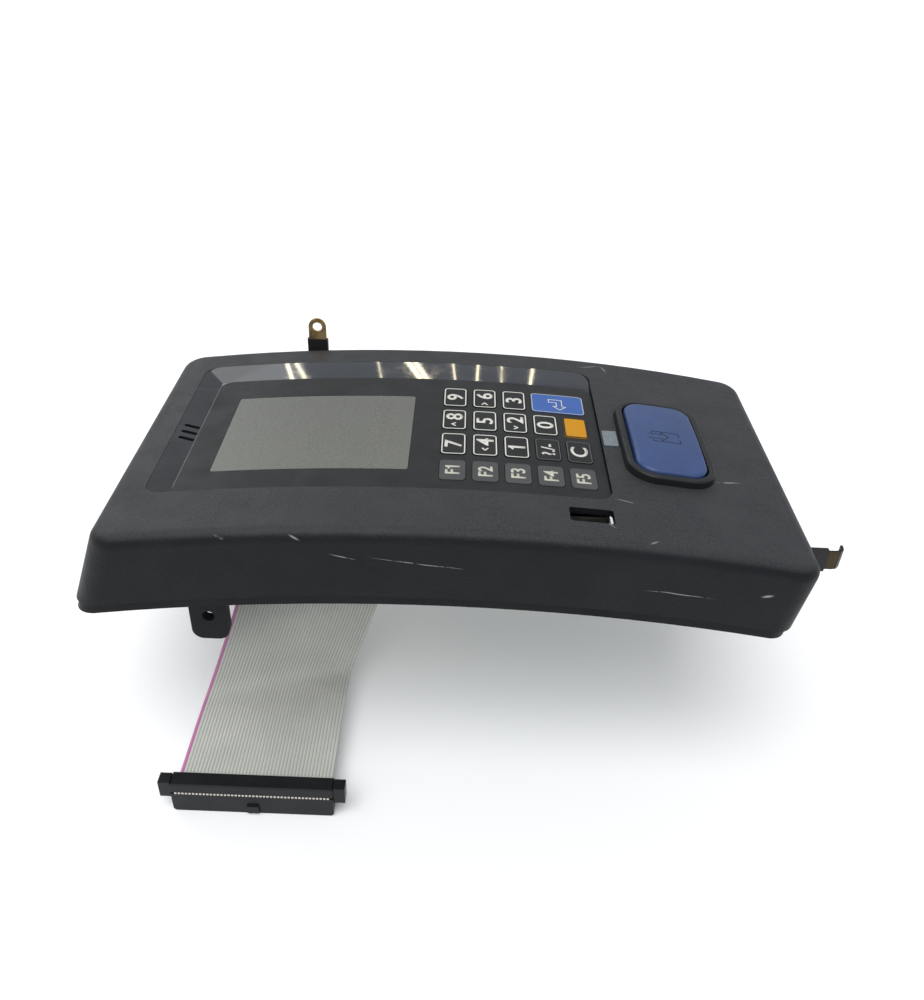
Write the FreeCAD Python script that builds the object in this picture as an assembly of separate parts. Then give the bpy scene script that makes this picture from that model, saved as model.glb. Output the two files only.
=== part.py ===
import FreeCAD, Part
import math
import os

# Operator panel of an industrial label printer: a curved front cover that carries a display,
# a keypad, a big feed button, a USB socket and a speaker, with its control board behind them
# and the ribbon cable that joins it to the machine. All sizes are in millimetres.
#
# The model is drawn from the crest of the cover's face: x runs along the panel (-x is its top
# end, with the speaker), y across it, z out of the face. Depths are measured down from the
# curved face. Every solid is moved at export so that the row's origin is in the pivot hole of
# the near lug, midway through its thickness.

V = FreeCAD.Vector
X_DIR, Y_DIR, Z_DIR = V(1, 0, 0), V(0, 1, 0), V(0, 0, 1)
LOW, HIGH = -160.0, 30.0          # well below and above everything

# ---- driving dimensions ---------------------------------------------------------------------
WIDTH = 134.0                     # across the panel
FACE_RADIUS = 754.0               # the face is bent about an axis along y
WALL_HEIGHT = 26.8
TOP_LEAN = 10.5                   # the top end wall leans out by this much
BOTTOM_LEAN = 4.2                 # and the bottom one leans in
TOP_MARGIN = 11.5                 # from the top end to the display surround
BOTTOM_MARGIN = 29.0              # from the feed button's collar to the bottom end
COVER_WALL = 2.5
CORNER_RADIUS = 9.0
EDGE_RADIUS = 4.6

FIT = 0.15                        # gap round a piece that sits in an opening
SLIDE_GAP = 0.2                   # gap round a piece that moves in an opening

# keys: rows run along x, and columns across y. The crest lies beside the first row.
KEY_FIRST_X, KEY_FIRST_Y = -0.1, -27.8
KEY_ROWS, KEY_COLUMNS = 5, 4
KEY_PITCH_X, KEY_PITCH_Y = 11.65, 17.5
KEY_SIZE_X, KEY_SIZE_Y = 9.2, 14.4
FUNCTION_KEY_SIZE_Y = 12.4
KEY_RADIUS = 1.6
KEY_PROUD = 0.25                  # the keys stand this far out of the film
KEY_TRAVEL = 0.4
KEY_LIP = 0.8
KEY_LIP_THICK = 0.8
KEY_STEM_RADIUS = 1.5
STEM_LENGTH = 0.9
DOME_RADIUS = 3.0
DOME_THICK = 0.35
BACKER_THICK = 1.2

# screen: a 3.5 inch display, 70.1 by 52.6 visible
SCREEN_LENGTH, SCREEN_HEIGHT = 70.1, 52.6
SCREEN_GAP = 11.2                 # from the screen to the first row of keys
SCREEN_MIDDLE_Y = -1.7
SCREEN_BORDER = 3.4               # how far the display's glass reaches past the visible screen
WINDOW_THICK = 1.0
GLASS_THICK = 1.8
BACKLIGHT_THICK = 2.4
TRAY_WALL = 0.4

# display surround, and the film in it
TOP_MARGIN_FILM = 11.0            # film beyond the screen and the keys on each side
BOTTOM_MARGIN_FILM = 4.4
NEAR_MARGIN_FILM = 7.0
FAR_MARGIN_FILM = 7.8
SURROUND_RADIUS = 6.0
SLOPE_TOP_END = 9.0               # width of the slope at the speaker end
SLOPE_FAR_SIDE = 12.3             # width of the slope along the far side
FLOOR_DEPTH = 1.5
FLOOR_THICK = 1.5
FLANGE_THICK = 1.8
FLANGE_REACH = 4.0
FILM_THICK = 0.3
FILM_GAP = 0.3
FILM_RADIUS = 5.0

# feed button, in its own frame at FEED_X: z is square to the face there
FEED_GAP = 7.0                    # from the surround to the collar
CAP_X, CAP_Y = 26.4, 48.5
CAP_RADIUS = 7.2
CAP_TOP = 4.9
CAP_CROWN = 260.0
CAP_GAP = 0.6
CAP_TRAVEL = 1.5
CAP_SKIRT = 8.6
CAP_WALL = 1.6
COLLAR_WALL = 2.7
COLLAR_TOP = 3.0
COLLAR_FOOT = -7.0
FEED_BOARD_TOP = -10.4
FEED_BOARD_THICK = 1.6
SWITCH_SIZE = 12.0
SWITCH_HEIGHT = 4.3
FEED_STEM_RADIUS = 1.8
SPRING_RADIUS, SPRING_WALL = 9.6, 0.9
FEED_SCREW_RADIUS = 0.85
FEED_SCREW_BITE = 8.0

# status light pipe and its lamp
PIPE_WEB = 0.8                    # cover left between the pipe and its neighbours
PIPE_Y = (-5.2, 5.4)
PIPE_PROUD = 0.3
PIPE_LENGTH = 8.0
LAMP_HEAD = (5.0, 5.0, 2.5)
LAMP_GAP = 0.3                    # between the lamp and the pipe's foot
LAMP_OFFSET = 3.5                 # the lamp stands this far towards the keys
LAMP_LEG_RADIUS, LAMP_LEG_PITCH = 0.25, 2.54

# USB socket that stands on the control board
USB_X = 47.0                      # middle of the opening
USB_FROM_EDGE = 16.2              # and how far it is from the near wall
USB_OPENING = (15.0, 7.6)
USB_SHELL = (13.1, 5.7)
USB_WALL = 0.35
USB_TOP_GAP = 0.3                 # from the cover's roof to the socket's mouth
USB_TONGUE = (11.1, 1.9)
USB_TONGUE_OFFSET = -0.9
USB_TONGUE_SUNK = 0.9
USB_BASE = 2.2                    # the insulator's base fills the shell this far up
USB_CONTACT = (1.0, 0.2)
USB_CONTACT_PITCH = 2.3

# speaker behind three slots in the surround's slope
SPEAKER_FROM_EDGE = 5.5           # from the surround's edge
SPEAKER_RADIUS = 7.6
SLOT_LENGTH, SLOT_WIDTH, SLOT_PITCH = 6.6, 1.7, 4.4
SLOT_TURN = -17.0                 # degrees that each slot is turned from the panel's length
SPEAKER_TOP = -12.4
SPEAKER_DEPTH = 5.0
SPEAKER_FLOOR, SPEAKER_WALL = 1.8, 0.8
CONE_FOOT, CONE_HEIGHT, CONE_WALL = 2.2, 2.4, 0.6

# control board, and the bosses it is screwed to
BOARD_SPEAKER_GAP = 1.9           # from the speaker to the board
BOARD_PAST_SURROUND = 1.0         # the board reaches this far past the surround
BOARD_NEAR_GAP, BOARD_FAR_GAP = 10.0, 4.5     # from the panel's long sides
BOARD_TOP = -13.9
BOARD_THICK = 1.6
BOSS_RADIUS = 3.0
BOSS_HOLE = 1.1
SCREW_RADIUS = 1.1
SCREW_HEAD_RADIUS = 2.6
SCREW_HEAD = 1.8
SCREW_BITE = 7.0

# rear frame: a ring that closes the cover's rim, with two lugs
LIP_INSET = 1.2
LIP_DEPTH = 4.2
LIP_WIDTH = 4.0
RIM_HEIGHT = 6.0
RIM_WALL = 1.8
LUG_X = -82.2
LUG_WIDTH = 13.0
LUG_THICK = 4.0
LUG_INSET = 4.0                   # from the panel's side to the lug's outer face
LUG_DROP = 16.0                   # from the walls' foot to the hole
LUG_TAIL = 10.6                   # from the hole to the lug's foot
LUG_HOLE_RADIUS = 2.2
LUG_RADIUS = 4.0
LUG_RISE = 6.0                    # how far the lugs reach up inside the rim from the walls' foot
LUG_SCREW_RISE = 3.4              # and how far up their screws are
LUG_SCREW_LENGTH = 5.2
FRAME_PAD_RADIUS = 4.2
FRAME_PAD_RISE = 3.8              # the pads lie this far above the walls' foot
FRAME_PAD_THICK = 2.4
FEET_SPACING = 84.0               # two blind holes for the machine's screws, near the bottom end
FEET_FROM_END = 12.5
FEET_HOLE_RADIUS = 1.25
FEET_RADIUS = 3.2
FEET_LENGTH = 9.0

# earthing tabs: 8 mm strips with a ring end and a black sleeve
TAB_WIDTH = 7.6
TAB_THICK = 0.8
TAB_HOLE_RADIUS = 2.0
SLEEVE_THICK = 0.6
SIDE_TAB_X = -61.2
SIDE_TAB_TOP = 10.2
SIDE_SLEEVE_TOP = 0.8
SIDE_TAB_GAP = 1.6                # from the cover's far wall to the strip
SIDE_FOOT_LENGTH = 6.5            # how far its foot reaches under the frame's lip
SIDE_SCREW_INSET = 3.2
END_TAB_INSET = 18.0              # from the near side
END_TAB_Z = -17.4
END_TAB_OUT, END_TAB_IN = 11.5, 28.5          # its two ends, from the bottom end of the face
END_TAB_CURL = 3.6
TAB_SLOT_GAP = 0.4

# ribbon cable and its sockets
CORES = 44
CORE_PITCH = 1.27
RIBBON_THICK = 0.9
RIBBON_WIDTH = CORES * CORE_PITCH
SOCKET_BODY = (58.2, 6.1, 9.2)
SOCKET_COVER = (58.2, 6.1, 4.1)
SOCKET_EAR = (4.2, 4.4, 7.6)
SOCKET_BUMP = (4.2, 0.9, 3.6)
CONTACT_HOLE = 0.8
CONTACT_PITCH = 2.54
HEADER_WALL = 1.2
HEADER_FLOOR = 2.4
HEADER_HEIGHT = 8.9
HEADER_Y = 49.0
CONNECTOR_X = -67.0
CONNECTOR_Y = -88.4
RIBBON_FLOOR_Z = -103.0
RIBBON_LEAN = 0.09                # the cable drifts this much in x for each mm of y

# route of the ribbon's middle, (y, z) from the board socket to the far socket. It runs back
# behind the board, folds, returns, and drops out under the panel's near edge.
ROUTE = (
    (24.0, -27.55),
    (0.0, -27.1),
    (-24.0, -27.7),
    (-41.0, -27.2),
    (-51.0, -26.9),
    (-56.0, -27.3),
    (-56.0, -32.3),
    (-50.0, -32.9),
    (-38.0, -32.4),
    (-18.0, -33.0),
    (4.0, -32.4),
    (18.0, -32.8),
    (28.0, -33.8),
    (34.0, -37.6),
    (33.5, -44.2),
    (20.0, -46.6),
    (0.0, -49.5),
    (-16.0, -57.0),
    (-26.5, -70.0),
    (-32.0, -86.0),
    (-37.5, -102.0),
    (-56.0, -103.0),
)


# ---- places worked out from the sizes above -------------------------------------------------
HALF_WIDTH = WIDTH / 2
KEY_LAST_X = KEY_FIRST_X + (KEY_ROWS - 1) * KEY_PITCH_X
KEY_LAST_Y = KEY_FIRST_Y + (KEY_COLUMNS - 1) * KEY_PITCH_Y
SCREEN_X = (KEY_FIRST_X - KEY_SIZE_X / 2 - SCREEN_GAP - SCREEN_LENGTH,
            KEY_FIRST_X - KEY_SIZE_X / 2 - SCREEN_GAP)
SCREEN_Y = (SCREEN_MIDDLE_Y - SCREEN_HEIGHT / 2, SCREEN_MIDDLE_Y + SCREEN_HEIGHT / 2)
SURROUND_X = (SCREEN_X[0] - TOP_MARGIN_FILM - SLOPE_TOP_END,
              KEY_LAST_X + KEY_SIZE_X / 2 + BOTTOM_MARGIN_FILM)
SURROUND_Y = (KEY_FIRST_Y - FUNCTION_KEY_SIZE_Y / 2 - NEAR_MARGIN_FILM,
              KEY_LAST_Y + KEY_SIZE_Y / 2 + FAR_MARGIN_FILM + SLOPE_FAR_SIDE)
COLLAR_X = CAP_X + 2 * (CAP_GAP + COLLAR_WALL)
COLLAR_Y = CAP_Y + 2 * (CAP_GAP + COLLAR_WALL)
COLLAR_RADIUS = CAP_RADIUS + CAP_GAP + COLLAR_WALL
FEED_X = SURROUND_X[1] + FEED_GAP + COLLAR_X / 2
PIPE_X = (SURROUND_X[1] + PIPE_WEB, FEED_X - COLLAR_X / 2 - PIPE_WEB)
TOP_END = SURROUND_X[0] - TOP_MARGIN
BOTTOM_END = FEED_X + COLLAR_X / 2 + BOTTOM_MARGIN
SPEAKER_X = SURROUND_X[0] + SPEAKER_FROM_EDGE
USB_Y = -HALF_WIDTH + USB_FROM_EDGE
BOARD_X = (SPEAKER_X + SPEAKER_RADIUS + BOARD_SPEAKER_GAP, SURROUND_X[1] + BOARD_PAST_SURROUND)
BOARD_Y = (-HALF_WIDTH + BOARD_NEAR_GAP, HALF_WIDTH - BOARD_FAR_GAP)
BOARD_SCREWS = ((BOARD_X[0] + 6.0, BOARD_Y[0] + 6.5), (22.0, BOARD_Y[0] + 6.5),
                (BOARD_X[0] + 6.0, BOARD_Y[1] - 3.5), (BOARD_X[1] - 6.5, BOARD_Y[1] - 3.5))
FRAME_PAD_DEPTH = WALL_HEIGHT - FRAME_PAD_RISE
FRAME_SCREWS = ((TOP_END + 3.7, -HALF_WIDTH + 13.5), (BOTTOM_END - 18.3, -HALF_WIDTH + 12.5),
                (TOP_END + 3.7, HALF_WIDTH - 13.5), (BOTTOM_END - 18.3, HALF_WIDTH - 12.5))
FEET_X = BOTTOM_END - FEET_FROM_END
LUG_OUTER_Y = HALF_WIDTH - LUG_INSET
LUG_HOLE_Z = -(WALL_HEIGHT + LUG_DROP)
LUG_FOOT = LUG_HOLE_Z - LUG_TAIL
SIDE_SCREW_Y = HALF_WIDTH - SIDE_SCREW_INSET
END_TAB_Y = -HALF_WIDTH + END_TAB_INSET
END_TAB_TIP, END_TAB_ROOT = BOTTOM_END + END_TAB_OUT, BOTTOM_END - END_TAB_IN
TO_ROW = V(-LUG_X, LUG_OUTER_Y - LUG_THICK / 2, -LUG_HOLE_Z)


# ---- shape helpers --------------------------------------------------------------------------
def face_z(x, depth=0.0):
    """Height of the surface that lies depth below the curved face, at x."""
    return math.sqrt((FACE_RADIUS - depth) ** 2 - x * x) - FACE_RADIUS


def rounded_box(x_range, y_range, z_range, radius):
    """An upright block with rounded corners."""
    (x0, x1), (y0, y1), (z0, z1) = x_range, y_range, z_range
    if radius <= 0:
        return Part.makeBox(x1 - x0, y1 - y0, z1 - z0, V(x0, y0, z0))
    centres = ((x1 - radius, y1 - radius, 0), (x0 + radius, y1 - radius, 90),
               (x0 + radius, y0 + radius, 180), (x1 - radius, y0 + radius, 270))
    arcs = []
    for cx, cy, start in centres:
        ends = [V(cx + radius * math.cos(math.radians(start + turn)),
                  cy + radius * math.sin(math.radians(start + turn)), z0) for turn in (0, 45, 90)]
        arcs.append(Part.Arc(*ends).toShape())
    edges = []
    for i, arc in enumerate(arcs):
        edges.append(arc)
        start, end = arc.Vertexes[-1].Point, arcs[(i + 1) % 4].Vertexes[0].Point
        if start.distanceToPoint(end) > 1e-6:
            edges.append(Part.makeLine(start, end))
    return Part.Face(Part.Wire(edges)).extrude(V(0, 0, z1 - z0))


def block(x, y, z, size_x, size_y, size_z, radius=0.0):
    """A block centred on x and y, from z upwards."""
    return rounded_box((x - size_x / 2, x + size_x / 2), (y - size_y / 2, y + size_y / 2),
                       (z, z + size_z), radius)


def arc_band(x0, x1, y0, y1, top, bottom):
    """The layer between two depths, both bent like the face."""
    middle = (x0 + x1) / 2
    upper = Part.Arc(V(x0, y0, face_z(x0, top)), V(middle, y0, face_z(middle, top)),
                     V(x1, y0, face_z(x1, top))).toShape()
    lower = Part.Arc(V(x0, y0, face_z(x0, bottom)), V(middle, y0, face_z(middle, bottom)),
                     V(x1, y0, face_z(x1, bottom))).toShape()
    ends = [Part.makeLine(V(x, y0, face_z(x, top)), V(x, y0, face_z(x, bottom))) for x in (x0, x1)]
    wire = Part.Wire(Part.__sortEdges__([upper, lower] + ends))
    return Part.Face(wire).extrude(V(0, y1 - y0, 0))


def arc_plate(x_range, y_range, radius, top, bottom):
    """A bent plate with a rounded outline."""
    band = arc_band(x_range[0] - 1, x_range[1] + 1, y_range[0] - 1, y_range[1] + 1, top, bottom)
    return band.common(rounded_box(x_range, y_range, (LOW, HIGH), radius))


def grown(span, by):
    return (span[0] - by, span[1] + by)


def on_face(shape, x):
    """Moves a shape drawn round the origin onto the face at x, square to it."""
    angle = math.degrees(math.asin(x / FACE_RADIUS))
    moved = shape.copy()
    moved.rotate(V(0, 0, 0), Y_DIR, angle)
    moved.translate(V(x, 0, face_z(x)))
    return moved


def fused(shapes):
    whole = shapes[0].multiFuse(list(shapes[1:])) if len(shapes) > 1 else shapes[0]
    return whole.removeSplitter()


def cylinder(x, y, z, radius, height):
    return Part.makeCylinder(radius, height, V(x, y, z))


def export(name, shape):
    """Writes one sub-part, placed in the row's frame."""
    placed = shape.copy()
    placed.translate(TO_ROW)
    placed.exportStep("parts/" + name + ".step")
    box = placed.BoundBox
    print(f"{name:24s} solids {len(shape.Solids):3d}  volume {shape.Volume:10.1f}"
          f"  z {box.ZMin:7.1f} {box.ZMax:7.1f}")


# ---- cover ----------------------------------------------------------------------------------
def cover_blank(inset, top, bottom, corner_radius, edge_radius):
    """The cover's outer form, or an inner one made by an inset from its walls."""
    start = [TOP_END - TOP_LEAN * depth / WALL_HEIGHT + inset for depth in (top, bottom)]
    end = [BOTTOM_END - BOTTOM_LEAN * depth / WALL_HEIGHT - inset for depth in (top, bottom)]
    y0 = -HALF_WIDTH + inset
    edges = []
    for k, depth in enumerate((top, bottom)):
        middle = (start[k] + end[k]) / 2
        points = [V(x, y0, face_z(x, depth)) for x in (start[k], middle, end[k])]
        edges.append(Part.Arc(*points).toShape())
    for pair in (start, end):
        edges.append(Part.makeLine(V(pair[0], y0, face_z(pair[0], top)),
                                   V(pair[1], y0, face_z(pair[1], bottom))))
    wire = Part.Wire(Part.__sortEdges__(edges))
    solid = Part.Face(wire).extrude(V(0, WIDTH - 2 * inset, 0))
    corners = [e for e in solid.Edges if abs(e.BoundBox.YLength) < 1e-6 and e.BoundBox.ZLength > 2
               and e.BoundBox.XLength < 30]
    solid = solid.makeFillet(corner_radius, corners)
    if edge_radius > 0:
        roof = max(solid.Faces, key=lambda f: f.CenterOfMass.z)
        solid = solid.makeFillet(edge_radius, roof.Edges)
    return solid


def screw_boss(x, y, foot):
    """A boss that hangs from the cover's roof down to foot."""
    roof = face_z(x, COVER_WALL) + 1.0
    return cylinder(x, y, foot, BOSS_RADIUS, roof - foot)


def make_cover():
    outer = cover_blank(0, 0, WALL_HEIGHT, CORNER_RADIUS, EDGE_RADIUS)
    inner = cover_blank(COVER_WALL, COVER_WALL, WALL_HEIGHT + 6, CORNER_RADIUS - COVER_WALL,
                        EDGE_RADIUS - COVER_WALL)
    shell = outer.cut(inner)
    bosses = [screw_boss(x, y, BOARD_TOP) for x, y in BOARD_SCREWS]
    bosses += [screw_boss(x, y, face_z(x, FRAME_PAD_DEPTH) + FIT) for x, y in FRAME_SCREWS]
    shell = fused([shell] + bosses)
    holes = [cylinder(x, y, BOARD_TOP - 1, BOSS_HOLE, SCREW_BITE + 1) for x, y in BOARD_SCREWS]
    holes += [cylinder(x, y, face_z(x, FRAME_PAD_DEPTH) - 1, BOSS_HOLE, SCREW_BITE + 1)
              for x, y in FRAME_SCREWS]
    holes.append(rounded_box(grown(SURROUND_X, FIT), grown(SURROUND_Y, FIT), (LOW, HIGH),
                             SURROUND_RADIUS + FIT))
    collar_room = block(0, 0, -20, COLLAR_X + 2 * FIT, COLLAR_Y + 2 * FIT, 40, COLLAR_RADIUS + FIT)
    holes.append(on_face(collar_room, FEED_X))
    holes.append(rounded_box(grown(PIPE_X, FIT), grown(PIPE_Y, FIT), (LOW, HIGH), 0.3))
    holes.append(block(USB_X, USB_Y, LOW, USB_OPENING[0], USB_OPENING[1], HIGH - LOW, 0.8))
    slot_high = TAB_WIDTH + 2 * (SLEEVE_THICK + TAB_SLOT_GAP)
    slot_wide = TAB_THICK + 2 * (SLEEVE_THICK + TAB_SLOT_GAP)
    holes.append(block(BOTTOM_END, END_TAB_Y, END_TAB_Z - slot_high / 2, 20.0, slot_wide, slot_high))
    return shell.cut(Part.makeCompound(holes))


# ---- display surround, film, screen ---------------------------------------------------------
def recess():
    """The space above the surround's floor: square steps on two sides, slopes on the others."""
    x0, x1 = SURROUND_X
    y0, y1 = SURROUND_Y
    floor_x = x0 + SLOPE_TOP_END
    floor_end = face_z(floor_x, FLOOR_DEPTH)
    middle = (floor_x + x1) / 2
    edges = [
        Part.makeLine(V(x0, y0, face_z(x0)), V(floor_x, y0, floor_end)),
        Part.Arc(V(floor_x, y0, floor_end), V(middle, y0, face_z(middle, FLOOR_DEPTH)),
                 V(x1, y0, face_z(x1, FLOOR_DEPTH))).toShape(),
        Part.makeLine(V(x1, y0, face_z(x1, FLOOR_DEPTH)), V(x1, y0, HIGH)),
        Part.makeLine(V(x1, y0, HIGH), V(x0, y0, HIGH)),
        Part.makeLine(V(x0, y0, HIGH), V(x0, y0, face_z(x0))),
    ]
    along = Part.Face(Part.Wire(edges)).extrude(V(0, y1 - y0, 0))
    section = [(y0, FLOOR_DEPTH), (y1 - SLOPE_FAR_SIDE, FLOOR_DEPTH), (y1, 0.0), (y1, -HIGH), (y0, -HIGH)]
    points = [V(0, y, -depth) for y, depth in section]
    profile = Part.Face(Part.makePolygon(points + points[:1]))
    reach = math.degrees(math.asin((abs(x0) + 15) / FACE_RADIUS))
    profile.rotate(V(0, 0, -FACE_RADIUS), Y_DIR, -reach)
    across = profile.revolve(V(0, 0, -FACE_RADIUS), Y_DIR, 2 * reach)
    return along.common(across)


def film_x():
    return (SURROUND_X[0] + SLOPE_TOP_END, SURROUND_X[1] - FILM_GAP)


def film_y():
    return (SURROUND_Y[0] + FILM_GAP, SURROUND_Y[1] - SLOPE_FAR_SIDE)


def key_list():
    """Name, middle and size of every key. Rows run along x, columns across y."""
    layout = (
        ("key_f1", 0, 0), ("key_7", 0, 1), ("key_8", 0, 2), ("key_9", 0, 3),
        ("key_f2", 1, 0), ("key_4", 1, 1), ("key_5", 1, 2), ("key_6", 1, 3),
        ("key_f3", 2, 0), ("key_1", 2, 1), ("key_2", 2, 2), ("key_3", 2, 3),
        ("key_f4", 3, 0), ("key_symbols", 3, 1), ("key_0", 3, 2), ("key_enter", 3.5, 3),
        ("key_f5", 4, 0), ("key_clear", 4, 1), ("key_menu", 4, 2),
    )
    keys = []
    for name, row, column in layout:
        size_x = KEY_SIZE_X + (KEY_PITCH_X if name == "key_enter" else 0)
        size_y = FUNCTION_KEY_SIZE_Y if name.startswith("key_f") else KEY_SIZE_Y
        keys.append((name, KEY_FIRST_X + row * KEY_PITCH_X, KEY_FIRST_Y + column * KEY_PITCH_Y,
                     size_x, size_y))
    return keys


def key_room(x, y, size_x, size_y):
    return block(x, y, LOW, size_x + 2 * SLIDE_GAP, size_y + 2 * SLIDE_GAP, HIGH - LOW,
                 KEY_RADIUS + SLIDE_GAP)


def speaker_slots():
    slots = []
    for k in (-1, 0, 1):
        slot = block(SPEAKER_X, k * SLOT_PITCH, LOW, SLOT_LENGTH, SLOT_WIDTH, HIGH - LOW,
                     SLOT_WIDTH / 2 - 0.05)
        slot.rotate(V(SPEAKER_X, k * SLOT_PITCH, 0), Z_DIR, SLOT_TURN)
        slots.append(slot)
    return Part.makeCompound(slots)


def make_surround():
    plate = arc_plate(SURROUND_X, SURROUND_Y, SURROUND_RADIUS, 0, FLOOR_DEPTH + FLOOR_THICK)
    flange_x = (SURROUND_X[0] - FLANGE_REACH, SURROUND_X[1])
    flange = arc_plate(flange_x, grown(SURROUND_Y, FLANGE_REACH), SURROUND_RADIUS, COVER_WALL,
                       COVER_WALL + FLANGE_THICK)
    body = fused([plate, flange])
    under_floor = rounded_box((film_x()[0] + 2, film_x()[1] - 1), (film_y()[0] + 1, film_y()[1] - 1),
                              (LOW, HIGH), 3.0)
    pocket = arc_band(SURROUND_X[0], SURROUND_X[1], SURROUND_Y[0], SURROUND_Y[1],
                      FLOOR_DEPTH + FLOOR_THICK, COVER_WALL + FLANGE_THICK + 1).common(under_floor)
    screen = rounded_box(grown(SCREEN_X, FIT), grown(SCREEN_Y, FIT), (LOW, HIGH), 1.0)
    keys = [key_room(x, y, sx, sy) for _, x, y, sx, sy in key_list()]
    return body.cut(Part.makeCompound([recess(), pocket, screen, speaker_slots()] + keys))


def make_film():
    film = arc_plate(film_x(), film_y(), FILM_RADIUS, FLOOR_DEPTH - FILM_THICK, FLOOR_DEPTH)
    screen = rounded_box(grown(SCREEN_X, FIT), grown(SCREEN_Y, FIT), (LOW, HIGH), 1.0)
    keys = [key_room(x, y, sx, sy) for _, x, y, sx, sy in key_list()]
    return film.cut(Part.makeCompound([screen] + keys))


def make_key(x, y, size_x, size_y):
    """A key pad with a lip that keeps it behind the surround's floor, and a short stem."""
    top = FLOOR_DEPTH - FILM_THICK - KEY_PROUD
    lip_top = FLOOR_DEPTH + FLOOR_THICK + 0.05
    lip_foot = lip_top + KEY_LIP_THICK
    half_x, half_y = size_x / 2, size_y / 2
    pad = arc_plate((x - half_x, x + half_x), (y - half_y, y + half_y), KEY_RADIUS, top, lip_foot)
    half_x, half_y = half_x + KEY_LIP, half_y + KEY_LIP
    lip = arc_plate((x - half_x, x + half_x), (y - half_y, y + half_y), KEY_RADIUS, lip_top, lip_foot)
    foot = face_z(x, lip_foot) - STEM_LENGTH
    stem = cylinder(x, y, foot, KEY_STEM_RADIUS, STEM_LENGTH + KEY_LIP_THICK)
    return fused([pad, lip, stem])


def dome_top():
    """Depth of the domes: just past the end of a pressed key's stem."""
    return FLOOR_DEPTH + FLOOR_THICK + 0.05 + KEY_LIP_THICK + STEM_LENGTH + KEY_TRAVEL + 0.12


def make_domes():
    domes = []
    for _, x, y, _, _ in key_list():
        span_x, span_y = (x - DOME_RADIUS, x + DOME_RADIUS), (y - DOME_RADIUS, y + DOME_RADIUS)
        domes.append(arc_plate(span_x, span_y, DOME_RADIUS - 0.05, dome_top(), dome_top() + DOME_THICK))
    return Part.makeCompound(domes)


def make_backer():
    """The bent plate behind the keys that carries the switch circuit."""
    top = dome_top() + DOME_THICK
    span_x = (SCREEN_X[1] + SCREEN_BORDER + 3.5, film_x()[1] - 1.3)
    span_y = (film_y()[0] + 1.5, film_y()[1] - 2.0)
    plate = arc_plate(span_x, span_y, 2.0, top, top + BACKER_THICK)
    rim = arc_plate(span_x, span_y, 2.0, FLOOR_DEPTH + FLOOR_THICK, top)
    rim = rim.cut(rounded_box(grown(span_x, -BACKER_THICK), grown(span_y, -BACKER_THICK), (LOW, HIGH), 1.0))
    return fused([plate, rim])


def screen_middle():
    return (SCREEN_X[0] + SCREEN_X[1]) / 2, (SCREEN_Y[0] + SCREEN_Y[1]) / 2


def glass_size():
    return (SCREEN_X[1] - SCREEN_X[0] + 2 * SCREEN_BORDER, SCREEN_Y[1] - SCREEN_Y[0] + 2 * SCREEN_BORDER)


def glass_top():
    """The flat glass lies under the bent floor, so it is lower by the bend's rise."""
    half = glass_size()[0] / 2 + TRAY_WALL
    return -(FLOOR_DEPTH + FLOOR_THICK + half * half / (2 * FACE_RADIUS) + 0.35)


def make_screen_parts():
    """Window, gasket, glass, backlight and metal tray of the display."""
    middle_x, middle_y = screen_middle()
    size_x, size_y = glass_size()
    window = arc_plate(SCREEN_X, SCREEN_Y, 1.0, FLOOR_DEPTH - FILM_THICK + 0.05,
                       FLOOR_DEPTH - FILM_THICK + 0.05 + WINDOW_THICK)
    top = glass_top()

    def flat(low, high, grow):
        part = block(0, middle_y, low, size_x + 2 * grow, size_y + 2 * grow, high - low)
        return on_face(part, middle_x)
    glass = flat(top - GLASS_THICK, top, 0)
    light_foot = top - GLASS_THICK - BACKLIGHT_THICK
    backlight = flat(light_foot, top - GLASS_THICK, -0.6)
    tray = flat(light_foot - TRAY_WALL, top - 0.3, TRAY_WALL).cut(flat(light_foot, top, 0))
    tray = fused([tray])
    rim = flat(top, top + 3, -0.5)
    opening = rounded_box(grown(SCREEN_X, FIT), grown(SCREEN_Y, FIT), (LOW, HIGH), 1.0)
    under = arc_band(SCREEN_X[0] - 12, SCREEN_X[1] + 12, SCREEN_Y[0] - 12, SCREEN_Y[1] + 12,
                     FLOOR_DEPTH + FLOOR_THICK, 40)
    gasket = rim.common(under).cut(opening)
    return {"screen_window": window, "screen_gasket": gasket, "screen_glass": glass,
            "screen_backlight": backlight, "screen_tray": tray}


# ---- feed button ----------------------------------------------------------------------------
def flange_top():
    """Just under the cover's roof, which bends away from the collar's flat flange."""
    half = COLLAR_X / 2 + FLANGE_REACH
    return -(COVER_WALL + half * half / (2 * FACE_RADIUS) + 0.05)


def make_collar():
    wall = block(0, 0, COLLAR_FOOT, COLLAR_X, COLLAR_Y, COLLAR_TOP - COLLAR_FOOT, COLLAR_RADIUS)
    flange = block(0, 0, flange_top() - FLANGE_THICK, COLLAR_X + 2 * FLANGE_REACH - 4.0,
                   COLLAR_Y + 2 * FLANGE_REACH, FLANGE_THICK, COLLAR_RADIUS)
    body = fused([wall, flange])
    body = body.cut(block(0, 0, LOW, CAP_X + 2 * CAP_GAP, CAP_Y + 2 * CAP_GAP, HIGH - LOW,
                          CAP_RADIUS + CAP_GAP))
    edges = [e for e in body.Edges if abs(e.BoundBox.ZMin - COLLAR_TOP) < 1e-6]
    body = body.makeFillet(0.8, edges).cut(feed_screw_holes())
    pipe_room = rounded_box(grown(PIPE_X, FIT), grown(PIPE_Y, FIT), (LOW, HIGH), 0)
    return on_face(body, FEED_X).cut(pipe_room)


def feed_screw_places():
    """One screw in the middle of each short wall of the collar."""
    return [(0, side * (COLLAR_Y - COLLAR_WALL) / 2) for side in (-1, 1)]


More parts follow.
